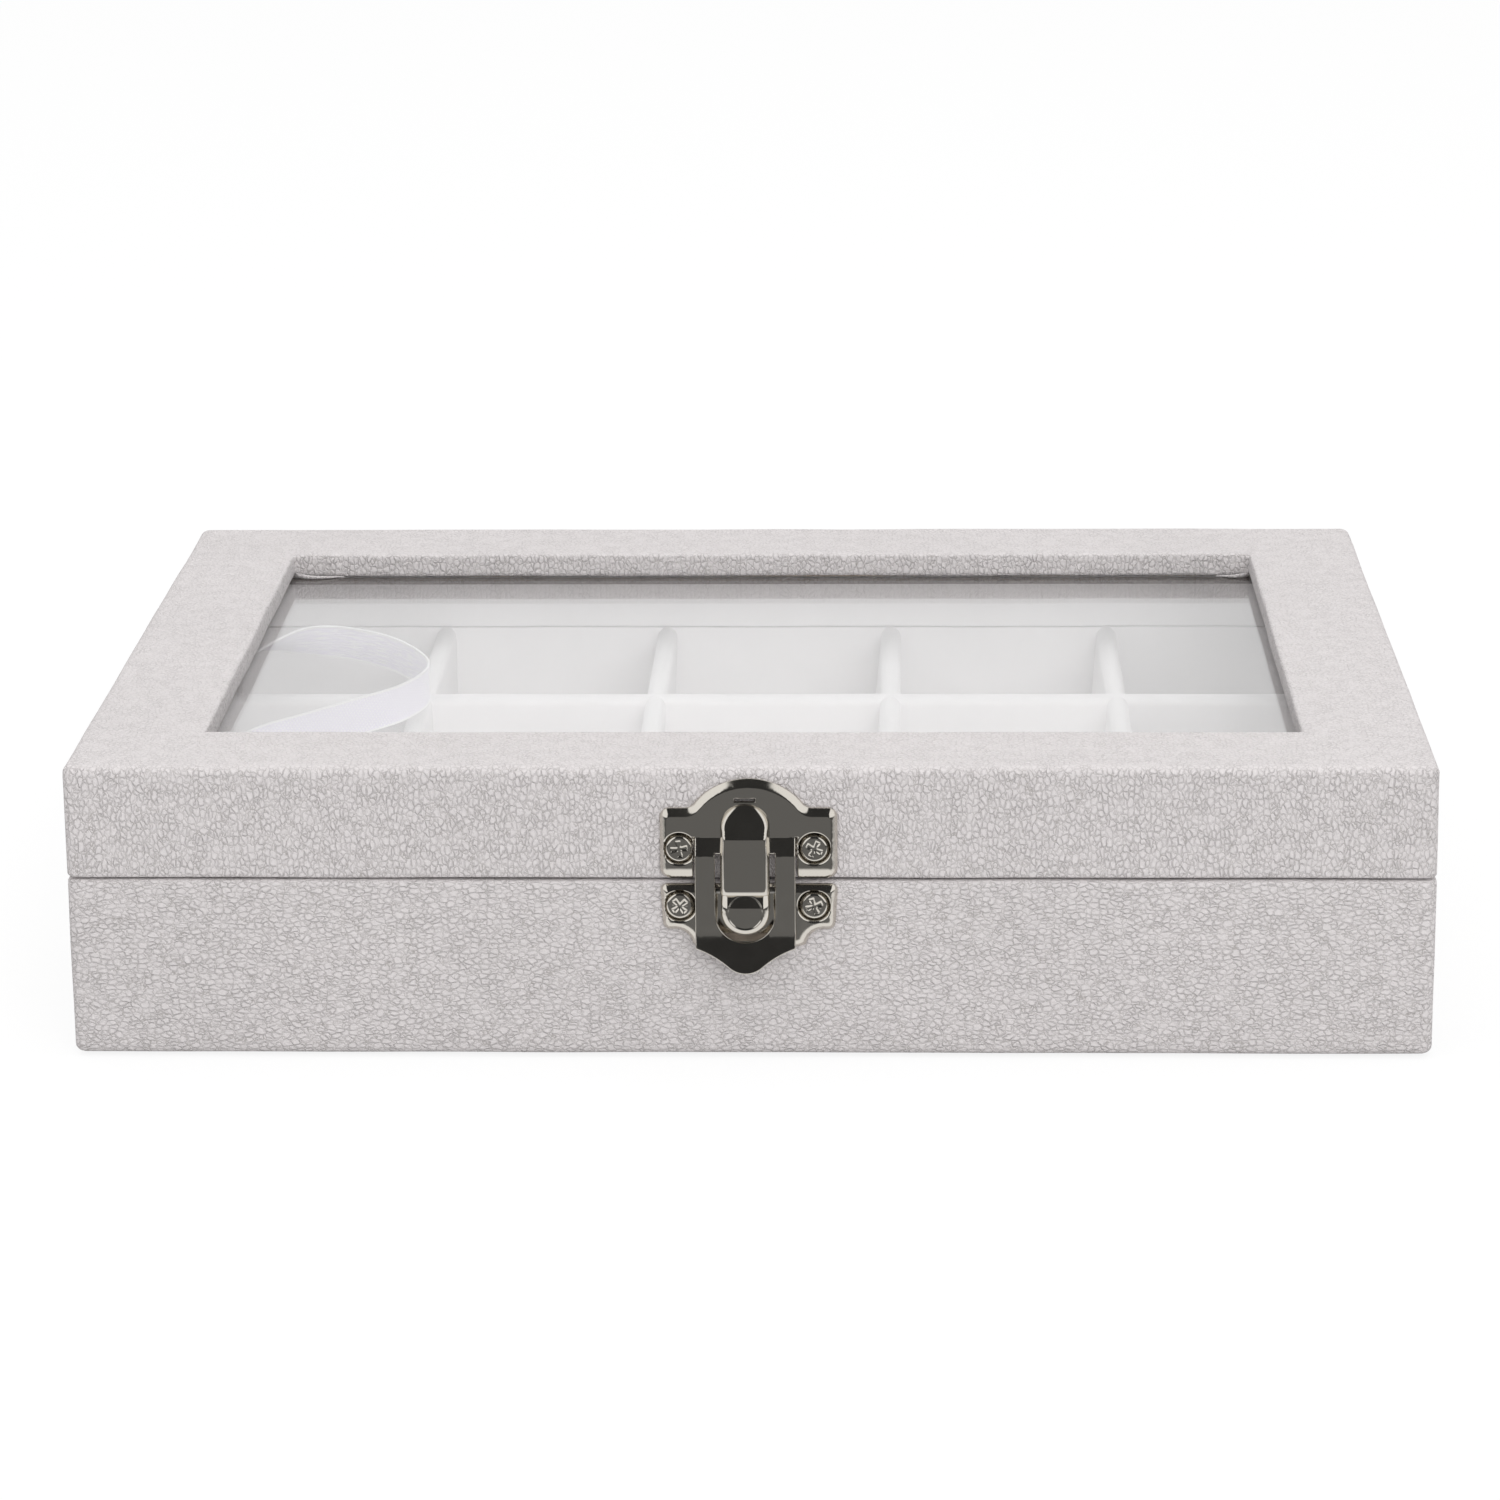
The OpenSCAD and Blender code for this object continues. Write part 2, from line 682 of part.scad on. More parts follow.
// Hollow corner between each side and the foot
bite_r = 4;
bite_x = plate_w / 2 - 0.9;
bite_z = keeper_foot - 0.8;
bite_flare = 0.9;

function keeper_half(inset) = [
    [plate_w / 2 - inset, keeper_top - inset],
    [plate_w / 2 - inset, keeper_side + inset * side_draft],
    [keeper_foot_w / 2 - inset * foot_draft, keeper_foot + inset]];

function keeper_outline(inset) = concat(keeper_half(inset),
    [for (i = [2:-1:0]) let (p = keeper_half(inset)[i]) [-p[0], p[1]]]);

module keeper_pan(inset, rise) {
    slope = rim_w * rise / plate_rise;
    hull() {
        outward(0, eps) polygon(keeper_outline(inset));
        outward(rise - eps, rise) polygon(keeper_outline(inset + slope * rim_steepness));
    }
}

module corner_bites() {
    for (s = [-1, 1]) translate([s * bite_x, 1 - case_d / 2, bite_z])
        rotate([90, 0, 0]) cylinder(r1 = bite_r - bite_flare, r2 = bite_r + bite_flare,
            h = plate_rise + 1 + clearance);
}

well_w = catch_w - 0.1;
well_foot = catch_drop + 0.6;
lug_t = 0.55;
lug_h = 2.1;

module keeper_plate() {
    lug_x = pivot_x + clearance;
    color("silver") difference() {
        union() {
            difference() {
                keeper_pan(0, plate_rise);
                keeper_pan(sheet_t, plate_rise - sheet_t);
                outward(-1, plate_rise + 1) translate([strap_x - well_w / 2, seam_z - well_foot])
                    square([well_w, well_foot + 1]);
            }
            intersection() {
                keeper_pan(0, plate_rise);
                screw_seats(-base_screw_z);
            }
            for (s = [-1, 1]) translate([strap_x + s * (lug_x + lug_t / 2), 0, 0])
                outward(0, plate_rise) translate([-lug_t / 2, keeper_top - lug_h])
                    square([lug_t, lug_h]);
        }
        screw_dishes(-base_screw_z);
        corner_bites();
        button_pin_rod(pin_d / 2 + pin_fit, well_w + 2 * eps);
    }
}

module button_pin_rod(r, len) {
    translate([strap_x, -case_d / 2 - pin_out, seam_z - pin_drop])
        rotate([0, 90, 0]) cylinder(r = r, h = len, center = true);
}

module button_pin() {
    color("silver") button_pin_rod(pin_d / 2, well_w - 0.1);
}

// The button's face leans out by button_ramp from its top to its straight lower lip
button_ramp = 1.5;
button_lip = 0.9;
button_top = seam_z - 0.7;
button_foot = seam_z - button_drop;
lip_top = button_foot + button_lip;
ramp_lean = atan(button_ramp / (button_top - lip_top));
// Half the width of the button's ends on the pin, their wall round it and their height
pivot_x = button_w / 2 - 0.15;
pivot_wall = 0.42;
pivot_h = 1.7;

// Button form, which stands proud at its lower end, where the strap's window catches it
module button_form(inset) {
    r = button_w / 2 - inset;
    over = inset > 0 ? 1 : 0;
    intersection() {
        outward(-1, button_front + 1) translate([strap_x, 0]) polygon(concat(
            arc(0, button_foot + inset + r, r, 180, 360, 16),
            [[r, button_top + 1], [-r, button_top + 1]]));
        across(button_w + 1) polygon([
            [inset > 0 ? -1 : pin_out - sheet_t, button_top + over],
            [button_front - button_ramp - inset, button_top + over],
            [button_front - inset, lip_top], [button_front - inset, button_foot - 1],
            [inset > 0 ? -1 : strap_back - clearance, button_foot - 1]]);
    }
}

module release_button() {
    ball = (dimple_r * dimple_r + dimple_depth * dimple_depth) / (2 * dimple_depth);
    dimple_z = button_foot + button_w / 2 - 0.3;
    face = button_front - (dimple_z - lip_top) * tan(ramp_lean);
    color("silver") difference() {
        union() {
            difference() {
                button_form(0);
                difference() {
                    button_form(sheet_t);
                    dimple_ball(ball + sheet_t, face + ball - dimple_depth, dimple_z);
                }
            }
            intersection() {
                outward(0.2, button_front) translate([strap_x - pivot_x, button_top - pivot_h])
                    square([2 * pivot_x, pivot_h]);
                button_pin_rod(pin_d / 2 + pivot_wall, button_w);
            }
        }
        dimple_ball(ball, face + ball - dimple_depth, dimple_z);
        for (s = [-1, 1]) translate([strap_x + s * (pivot_x + 1), -case_d / 2, 0])
            block(2, 2 * plate_rise + 1, button_top - pivot_h - 0.2, seam_z);
        button_pin_rod(pin_d / 2 + pin_play, button_w + 1);
    }
}

module dimple_ball(r, out, z) {
    translate([strap_x, -case_d / 2 - out, z + (out - button_front) * sin(ramp_lean)])
        sphere(r, $fn = 64);
}

// Leaf spring behind the button: a flat foot against the board, a long rise and a turned end
module button_spring() {
    leaf = 0.25;
    foot = seam_z - catch_drop;
    knee = foot + 1.5;
    crest = [1.2, seam_z - 4];
    end = [0.9, seam_z - 3];
    color("silver") across(3) polygon([
        [0, foot], [leaf, foot], [leaf, knee], [crest[0] + leaf, crest[1]],
        [end[0] + leaf, end[1]], end, [crest[0] - leaf / 2, crest[1]], [0, knee + 0.8 * leaf]]);
}

// ---------------------------------------------------------------- hinges

leaf_r = 1.5;
pin_head_t = 0.4;

// Leaf of one hinge, drawn for the lid: dir = 1 points up, -1 points down
module hinge_leaf(side, dir, knuckles) {
    color("silver") translate([side * hinge_pitch / 2, 0, 0]) difference() {
        union() {
            translate([0, case_d / 2 + leaf_t, seam_z]) rotate([90, 0, 0]) linear_extrude(leaf_t)
                difference() {
                    polygon([for (p = concat([[-hinge_w / 2, 0], [hinge_w / 2, 0]],
                        arc(hinge_w / 2 - leaf_r, leaf_h - leaf_r, leaf_r, 0, 90),
                        arc(leaf_r - hinge_w / 2, leaf_h - leaf_r, leaf_r, 90, 180)))
                        [p[0], dir * p[1]]]);
                    for (k = [-1:1]) if (!knuckle_at(k, knuckles))
                        translate([k * (knuckle_len + clearance), 0])
                            square([knuckle_len + 2 * clearance, 2 * (knuckle_r + clearance)],
                                center = true);
                }
            for (k = [-1:1]) if (knuckle_at(k, knuckles))
                translate([k * (knuckle_len + clearance), hinge_y, seam_z])
                    rotate([0, 90, 0]) cylinder(r = knuckle_r, h = knuckle_len, center = true);
        }
        translate([0, hinge_y, seam_z]) rotate([0, 90, 0])
            cylinder(r = hinge_pin_d / 2 + pin_play, h = hinge_w + 2, center = true);
        for (s = [-1, 1])
            translate([s * leaf_screw_pitch / 2, case_d / 2 - 1, seam_z + dir * leaf_screw_z])
                rotate([-90, 0, 0]) cylinder(r = screw_shank / 2 + pin_play, h = leaf_t + 2);
    }
}

// The lid's leaf has the middle knuckle, and the base's leaf has the outer two
function knuckle_at(k, knuckles) = knuckles == "middle" ? k == 0 : k != 0;

module hinge_pin(side) {
    color("silver") translate([side * hinge_pitch / 2, hinge_y, seam_z]) rotate([0, 90, 0]) {
        cylinder(r = hinge_pin_d / 2, h = hinge_w, center = true);
        for (s = [-1, 1]) translate([0, 0, s * (hinge_w + pin_head_t) / 2])
            cylinder(r = hinge_pin_d / 2 + 0.3, h = pin_head_t, center = true);
    }
}

hinge_head_h = 0.7;

module hinge_screws(dir) {
    color("silver") for (h = [-1, 1], s = [-1, 1])
        translate([h * hinge_pitch / 2 + s * leaf_screw_pitch / 2, case_d / 2 + leaf_t,
            seam_z + dir * leaf_screw_z])
            rotate([-90, 0, 0])
                screw(hinge_screw_head / 2, hinge_head_h, screw_shank / 2, hinge_screw_len);
}

// ---------------------------------------------------------------- ribbon stay

// Stations of the ribbon from the lid to the base: [distance in from the left board's inner
// face, y, height from the seam, roll]. At roll 0 the ribbon stands on its edge.
ribbon_stations = [
    [0, 27, 3.8, 84], [6, 29, 4, 80], [12, 32, 5.6, 62], [18, 34, 5.9, 28], [25, 34, 5.4, 12],
    [33, 28.5, 4.9, 4], [38.8, 19, 4.4, 0], [40, 10, 4.5, 0], [37, 0, 4.6, 2],
    [31, -9, 4.8, 4], [24, -19, 5.1, 8], [17, -29, 5.2, 20], [11, -38, 2.6, 44],
    [6.5, -43.5, -2, 66], [0, -45.5, -4, 80]];

ribbon_lid_end = ribbon_stations[0];
ribbon_base_end = ribbon_stations[len(ribbon_stations) - 1];
ribbon_steps = 3;

// Point of the smooth curve through the stations, t along station i
function spline(p, i, t) = let (
        n = len(p) - 1, a = p[max(i - 1, 0)], b = p[i], c = p[min(i + 1, n)], d = p[min(i + 2, n)])
    0.5 * ((2 * b) + (c - a) * t + (2 * a - 5 * b + 4 * c - d) * t * t
        + (3 * b - a - 3 * c + d) * t * t * t);

function unit(v) = v / norm(v);

// Four corners of the ribbon's section at a station, given the way it runs
function ribbon_ring(s, run) = let (
        ahead = unit(run),
        side = unit(cross(ahead, [0, 0, 1])),
        up = cross(side, ahead),
        broad = up * cos(s[3]) + side * sin(s[3]),
        thin = side * cos(s[3]) - up * sin(s[3]),
        at = [-inner_w / 2 + s[0], s[1], seam_z + s[2]])
    [for (q = [[-1, -1], [1, -1], [1, 1], [-1, 1]])
        at + broad * q[0] * ribbon_w / 2 + thin * q[1] * ribbon_t / 2];

module ribbon_stay() {
    count = (len(ribbon_stations) - 1) * ribbon_steps;
    line = [for (k = [0:count]) let (i = min(floor(k / ribbon_steps), len(ribbon_stations) - 2))
        spline(ribbon_stations, i, k / ribbon_steps - i)];
    rings = [for (k = [0:count]) let (
            a = line[max(k - 1, 0)], b = line[min(k + 1, count)], end = k == 0 || k == count,
            way = end ? [k == 0 ? 1 : -1, 0, 0] : [b[0] - a[0], b[1] - a[1], b[2] - a[2]])
        ribbon_ring(line[k], way)];
    color("white") polyhedron(
        points = [for (ring = rings) for (p = ring) p],
        faces = concat(
            [[0, 1, 2], [0, 2, 3]],
            [for (k = [0:count - 1]) for (j = [0:3]) for (half = [0, 1])
                let (a = 4 * k + j, b = 4 * k + (j + 1) % 4)
                half == 0 ? [a, a + 4, b + 4] : [a, b + 4, b]],
            [for (half = [2, 1]) [4 * count + half + 1, 4 * count + half, 4 * count]]));
}

// Slot in a liner card that an end of the ribbon passes through
slot_play = 1.5;

module stay_slot(end) {
    tall = ribbon_t + ribbon_w * cos(end[3]) + 2 * slot_play;
    wide = ribbon_t + ribbon_w * sin(end[3]) + 2 * slot_play;
    translate([-inner_w / 2, end[1] - wide / 2, seam_z + end[2] - tall / 2])
        cube([3 * liner_t, wide, tall]);
}

// ---------------------------------------------------------------- nodes

base_side("front");  // base_front_board
base_side("back");  // base_back_board
base_side("left");  // base_left_board
base_side("right");  // base_right_board
base_bottom_board();
base_cover();
underside_paper();
floor_pad();
base_liner("front");  // base_front_liner
base_liner("back");  // base_back_liner
base_liner("left");  // base_left_liner
base_liner("right");  // base_right_liner
for (i = [1:columns - 1])
    long_divider(i);
for (i = [1:rows - 1])
    cross_divider(i);
keeper_plate();
clasp_screws(-base_screw_z);  // keeper_screws
button_pin();
button_spring();
release_button();
lid_rail("front");  // lid_front_rail
lid_rail("back");  // lid_back_rail
lid_rail("left");  // lid_left_rail
lid_rail("right");  // lid_right_rail
lid_top_board();
lid_cover();
glass_pane();
retainer("front");  // front_retainer
retainer("back");  // back_retainer
retainer("left");  // left_retainer
retainer("right");  // right_retainer
lid_liner("front");  // lid_front_liner
lid_liner("back");  // lid_back_liner
lid_liner("left");  // lid_left_liner
lid_liner("right");  // lid_right_liner
hasp_plate();
hasp_tongue();
clasp_screws(lid_screw_z);  // hasp_screws
hinge_leaf(-1, -1, "outer");  // left_base_leaf
hinge_leaf(1, -1, "outer");  // right_base_leaf
hinge_leaf(-1, 1, "middle");  // left_lid_leaf
hinge_leaf(1, 1, "middle");  // right_lid_leaf
hinge_pin(-1);  // left_hinge_pin
hinge_pin(1);  // right_hinge_pin
hinge_screws(-1);  // base_hinge_screws
hinge_screws(1);  // lid_hinge_screws
ribbon_stay();
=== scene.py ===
import json
import math
from functools import partial
import bpy
import numpy as np
from mathutils import Matrix, Vector, geometry, noise


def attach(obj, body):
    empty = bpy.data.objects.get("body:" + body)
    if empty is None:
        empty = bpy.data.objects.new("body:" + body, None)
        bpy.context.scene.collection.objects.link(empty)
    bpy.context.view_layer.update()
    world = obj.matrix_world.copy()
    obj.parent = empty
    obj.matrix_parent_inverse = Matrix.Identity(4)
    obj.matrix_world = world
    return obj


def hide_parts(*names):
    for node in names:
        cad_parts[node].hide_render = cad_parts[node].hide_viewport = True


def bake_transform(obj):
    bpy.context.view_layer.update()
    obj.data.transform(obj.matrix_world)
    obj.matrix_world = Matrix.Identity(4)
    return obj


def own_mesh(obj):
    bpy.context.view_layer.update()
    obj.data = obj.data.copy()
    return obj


noise.seed_set(11)  # else every run draws its noise afresh, from the clock
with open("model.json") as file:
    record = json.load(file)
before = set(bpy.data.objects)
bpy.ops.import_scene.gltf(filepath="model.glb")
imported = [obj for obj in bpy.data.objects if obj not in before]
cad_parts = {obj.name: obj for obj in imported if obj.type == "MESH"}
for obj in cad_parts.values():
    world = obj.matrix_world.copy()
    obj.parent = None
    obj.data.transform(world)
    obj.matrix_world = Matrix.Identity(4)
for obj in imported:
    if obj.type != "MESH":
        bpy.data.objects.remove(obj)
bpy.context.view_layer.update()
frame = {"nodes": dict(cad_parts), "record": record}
mm = 0.001
seam = 27.5


def linearColour(hexText):
    # Shader colours are linear, the looks give them as sRGB
    channels = [int(hexText[i:i + 2], 16) / 255 for i in (0, 2, 4)]
    return tuple(c / 12.92 if c <= 0.04045 else ((c + 0.055) / 1.055) ** 2.4 for c in channels) + (1.0,)


# Settings are a node's attributes and sockets. A socket as the value makes a link to it, and so does
# a node, by its first output
def addNode(tree, kind, settings={}):
    node = tree.nodes.new("ShaderNode" + kind)
    for key, value in settings.items():
        source = value.outputs[0] if isinstance(value, bpy.types.Node) else value
        if isinstance(source, bpy.types.NodeSocket):
            tree.links.new(source, node.inputs[key])
        elif isinstance(key, str) and hasattr(node, key):
            setattr(node, key, value)
        else:
            node.inputs[key].default_value = value
    return node


def newMaterial(name):
    material = bpy.data.materials.new(name)
    material.use_nodes = True
    material.node_tree.nodes.clear()
    return material, partial(addNode, material.node_tree)


def grey(value):
    return (value, value, value, 1.0)


# Pattern coordinates stay with each piece, and are turned into millimetres
def millimetres(add):
    coordinates = add("TexCoord")
    return add("VectorMath", {"operation": "SCALE", "Scale": 1 / mm, 0: coordinates.outputs["Object"]})


# Short-napped microfibre suede, pressed with a fine pebble grain and glued to the boards. Light
# from above picks out the pebbles' shoulders, and the nap blurs every crease between them. The
# creases are also painted darker, as painted shade.
suedeLook = {
    # crease: the colour of the painted shade along the creases between the pebbles
    "colour": "e0dbdb", "crease": "a6a19f",
    "pebble": 0.78,  # mm across
    "stretch": 0.68,  # the pebbles' breadth as a share of their length
    "wander": 0.6,  # how far the creases stray from straight
    "press": 0.17,  # depth in mm
    "onTop": 0.6,  # share of the grain, its painted crease shade and its relief alike, left on faces that look up
    "nap": 0.3,  # mm. Single fibres are too fine to show, so the nap is drawn in tufts
    "roughness": 0.9, "sheen": 0.12,
}


def makeSuede(cfg):
    material, add = newMaterial("suede")
    place = millimetres(add)
    # The grain runs upright on the lid's cloth and lengthwise on the base's
    level = add("SeparateXYZ", {0: place})
    onLid = add("Math", {"operation": "GREATER_THAN", 1: seam, 0: level.outputs["Z"]})
    lengthwise, upright = (cfg["stretch"], 1.0, 1.0), (1.0, 1.0, cfg["stretch"])
    run = add("Mix", {"data_type": "VECTOR", 4: lengthwise, 5: upright, 0: onLid})
    drawn = add("VectorMath", {"operation": "MULTIPLY", 0: place, 1: run.outputs[1]})
    wander = add("TexNoise", {"Scale": 1 / 0.6, "Detail": 1.0, "Vector": drawn})
    shift = add("VectorMath", {"operation": "MULTIPLY_ADD", 1: (cfg["wander"],) * 3,
                               0: wander.outputs["Color"], 2: drawn})
    cells = {"feature": "DISTANCE_TO_EDGE", "Scale": 1 / cfg["pebble"], "Randomness": 0.9}
    pebbles = add("TexVoronoi", {**cells, "Vector": shift})
    lumps = add("TexNoise", {"Scale": 1.6 / cfg["pebble"], "Detail": 1.0, "Vector": drawn})
    patches = add("TexNoise", {"Scale": 1 / 2.2, "Detail": 1.0, "Vector": place})
    # Pressed less in some patches than in others, so that creases fade out and begin again
    pressed = add("MapRange", {"From Min": 0.35, "From Max": 0.6, "To Min": 0.6, "Value": patches})
    dome = add("MapRange", {"interpolation_type": "SMOOTHERSTEP", "From Max": 0.26, "Value": pebbles})
    crease = add("MapRange", {"From Max": 0.07, "To Min": 1.0, "To Max": 0.0, "Value": pebbles})
    shade = add("Math", {"operation": "MULTIPLY", 0: crease, 1: pressed})
    face = add("SeparateXYZ", {0: add("TexCoord").outputs["Normal"]})
    upward = add("MapRange", {"From Min": 0.5, "From Max": 0.9, "To Min": 1.0,
                              "To Max": cfg["onTop"], "Value": face.outputs["Z"]})
    nap = add("TexNoise", {"Scale": 1 / cfg["nap"], "Detail": 3.0, "Roughness": 0.7, "Vector": place})
    cloud = add("TexNoise", {"Scale": 1 / 25, "Detail": 2.0, "Vector": place})
    # Painted shade in the creases, weaker on faces that look up
    depth = add("Math", {"operation": "MULTIPLY", 0: shade, 1: upward})
    colours = {"data_type": "RGBA", 6: linearColour(cfg["colour"]), 7: linearColour(cfg["crease"])}
    base = add("Mix", {**colours, 0: depth})
    mottle = add("MapRange", {"From Min": 0.25, "From Max": 0.75, "To Min": 0.95, "To Max": 1.04,
                              "Value": nap})
    drift = add("MapRange", {"From Min": 0.3, "From Max": 0.7, "To Min": 0.985, "To Max": 1.015,
                             "Value": cloud})
    both = add("Math", {"operation": "MULTIPLY", 0: mottle, 1: drift})
    tinted = add("VectorMath", {"operation": "SCALE", 0: base.outputs[2], "Scale": both})
    raised = add("Math", {"operation": "MULTIPLY", 0: dome, 1: pressed})
    grain = add("Math", {"operation": "MULTIPLY_ADD", 1: 1.1, 0: lumps, 2: raised})
    fuzz = add("Math", {"operation": "MULTIPLY_ADD", 1: 0.35, 0: nap, 2: grain})
    height = add("Math", {"operation": "MULTIPLY", 0: fuzz, 1: upward})
    bump = add("Bump", {"Strength": 1.0, "Distance": cfg["press"] * mm, "Height": height})
    surface = add("BsdfPrincipled", {"Roughness": cfg["roughness"], "Sheen Weight": cfg["sheen"],
                                     "Sheen Roughness": 0.5, "Base Color": tinted, "Normal": bump})
    add("OutputMaterial", {"Surface": surface})
    return material


# Flocked velvet over card: matt white with a soft bright edge from its upright fibres, and with
# painted shade on faces that look up
velvetLook = {
    "colour": "f6f4f4", "paintedSideShade": "f6f4f4",
    "fibre": 0.25, "bump": 0.06,  # mm. Drawn as tufts too, far coarser than the pile's fibres
    "sheen": 0.05,
    "paintedTopShade": 0.86,  # brightness where the pile points up: painted shade, standing in for the pile showing its tips and less of its bright sides
}


def makeVelvet(cfg, name):
    material, add = newMaterial(name)
    place = millimetres(add)
    fibre = add("TexNoise", {"Scale": 1 / cfg["fibre"], "Detail": 3.0, "Roughness": 0.7, "Vector": place})
    press = add("TexNoise", {"Scale": 1 / 14, "Detail": 2.0, "Vector": place})
    shade = add("MapRange", {"From Min": 0.3, "From Max": 0.7, "To Min": 0.96, "To Max": 1.0,
                             "Value": press})
    face = add("SeparateXYZ", {0: add("TexCoord").outputs["Normal"]})
    shadedTops = add("MapRange", {"From Min": 0.3, "From Max": 0.9, "To Min": 1.0, "To Max": cfg["paintedTopShade"],
                            "Value": face.outputs["Z"]})
    both = add("Math", {"operation": "MULTIPLY", 0: shade, 1: shadedTops})
    steep = add("Math", {"operation": "ABSOLUTE", 0: face.outputs["Z"]})
    # Upright faces take the second colour; on the retainers it is painted shade
    cut = add("Math", {"operation": "LESS_THAN", 1: 0.5, 0: steep})
    colours = {"data_type": "RGBA", 6: linearColour(cfg["colour"]), 7: linearColour(cfg["paintedSideShade"])}
    base = add("Mix", {**colours, 0: cut})
    tinted = add("VectorMath", {"operation": "SCALE", 0: base.outputs[2], "Scale": both})
    bump = add("Bump", {"Strength": 0.5, "Distance": cfg["bump"] * mm, "Height": fibre})
    surface = add("BsdfPrincipled", {"Roughness": 0.95, "Sheen Weight": cfg["sheen"],
                                     "Sheen Roughness": 0.6, "Base Color": tinted, "Normal": bump})
    add("OutputMaterial", {"Surface": surface})
    return material


# Clear float glass with cut edges. Light passes it into the tray, so shadow rays go through.
def makeGlass():
    material, add = newMaterial("float_glass")
    pane = add("BsdfPrincipled", {"Base Color": grey(1.0), "Roughness": 0.0,
                                  "Transmission Weight": 1.0, "IOR": 1.5})
    path = add("LightPath")
    clear = add("BsdfTransparent", {"Color": grey(1.0)})
    mix = add("MixShader", {0: path.outputs["Is Shadow Ray"], 1: pane, 2: clear})
    add("OutputMaterial", {"Surface": mix})
    return material


# Stamped sheet steel with bright nickel plating: a mirror with faint rolling marks and specks. The
# marks are drawn coarser than real ones, which are too fine to show
nickelLook = {"colour": "d9d4cb", "roughness": 0.09, "grain": 0.12, "bump": 0.0015}


def makeNickel(cfg):
    material, add = newMaterial("nickel_plating")
    place = millimetres(add)
    fine = add("TexNoise", {"Scale": 1 / cfg["grain"], "Detail": 2.0, "Vector": place})
    swirl = add("TexNoise", {"Scale": 1 / 3.0, "Detail": 2.0, "Vector": place})
    both = add("Math", {"operation": "MULTIPLY_ADD", 1: 3.0, 0: swirl, 2: fine})
    bump = add("Bump", {"Strength": 0.4, "Distance": cfg["bump"] * mm, "Height": both})
    worn = cfg["roughness"] + 0.08
    wear = add("MapRange", {"From Min": 0.35, "From Max": 0.75, "To Min": cfg["roughness"],
                            "To Max": worn, "Value": swirl})
    surface = add("BsdfPrincipled", {"Base Color": linearColour(cfg["colour"]), "Metallic": 1.0,
                                     "Roughness": wear, "Normal": bump})
    add("OutputMaterial", {"Surface": surface})
    return material


# Woven polyester satin: on the face, long floats give streaks of light; on the back the binding
# points show as rows of dots. Both edges are corded and whiter. Sizes are in mm, and the floats are
# drawn wider than single threads, which are too fine to show.
satinLook = {"colour": "f3eefd", "bright": "ffffff", "floatLong": 2.9, "floatWide": 0.22, "dot": 0.58,
             "halfWidth": 3.0}
weaveBack = 100  # the weave's map gives millimetres along and across; the back lies this much further on


def makeSatin(cfg):
    material, add = newMaterial("satin")
    weave = add("UVMap", {"uv_map": "weave"})
    split = add("SeparateXYZ", {0: weave})
    isBack = add("Math", {"operation": "GREATER_THAN", 1: weaveBack / 2, 0: split.outputs["Y"]})
    perFloat = (1 / cfg["floatLong"], 1 / cfg["floatWide"], 1.0)
    floatPlace = add("VectorMath", {"operation": "MULTIPLY", 1: perFloat, 0: weave})
    floats = add("TexNoise", {"Scale": 1.0, "Detail": 2.0, "Vector": floatPlace})
    turned = add("VectorRotate", {"Angle": math.radians(32), "Vector": weave})
    dots = add("TexVoronoi", {"Scale": 1 / cfg["dot"], "Randomness": 0.12, "Vector": turned})
    streak = add("MapRange", {"From Min": 0.46, "From Max": 0.62, "Value": floats})
    knot = add("MapRange", {"From Min": 0.12, "From Max": 0.4, "To Min": 1.0, "To Max": 0.0,
                            "Value": dots})
    pattern = add("Mix", {"data_type": "FLOAT", 0: isBack, 2: streak, 3: knot})
    across = add("Math", {"operation": "MULTIPLY_ADD", 1: -weaveBack, 0: isBack, 2: split.outputs["Y"]})
    middle = add("Math", {"operation": "SUBTRACT", 1: cfg["halfWidth"], 0: across})
    out = add("Math", {"operation": "ABSOLUTE", 0: middle})
    cord = cfg["halfWidth"] - 0.34
    edge = add("MapRange", {"From Min": cord, "From Max": cord + 0.1, "Value": out})
    light = add("Math", {"operation": "MAXIMUM", 0: edge, 1: pattern})
    # The floats' streaks and the back's dots are painted lighter into the colour, as painted sheen; the
    # corded edges are whiter too
    colours = {"data_type": "RGBA", 6: linearColour(cfg["colour"]), 7: linearColour(cfg["bright"])}
    base = add("Mix", {**colours, 0: light})
    bump = add("Bump", {"Strength": 0.6, "Distance": 0.05 * mm, "Height": pattern})
    gloss = add("MapRange", {"To Min": 0.45, "To Max": 0.28, "Value": pattern})
    surface = add("BsdfPrincipled", {"Sheen Weight": 0.3, "Base Color": base.outputs[2],
                                     "Normal": bump, "Roughness": gloss})
    add("OutputMaterial", {"Surface": surface})
    return material


# Hidden or rear stock: raw medium-density fibreboard, pasted paper and spring steel
def makeStock(name, colourA, colourB, size, roughness, metallic, bump):
    material, add = newMaterial(name)
    grain = add("TexNoise", {"Scale": 1 / size, "Detail": 4.0, "Vector": millimetres(add)})
    share = add("MapRange", {"From Min": 0.35, "From Max": 0.65, "Value": grain})
    colours = {"data_type": "RGBA", 6: linearColour(colourA), 7: linearColour(colourB)}
    colour = add("Mix", {**colours, 0: share})
    relief = add("Bump", {"Strength": 0.4, "Distance": bump * mm, "Height": grain})
    surface = add("BsdfPrincipled", {"Roughness": roughness, "Metallic": metallic,
                                     "Base Color": colour.outputs[2], "Normal": relief})
    add("OutputMaterial", {"Surface": surface})
    return material


suede = makeSuede(suedeLook)
velvet = makeVelvet(velvetLook, "velvet")
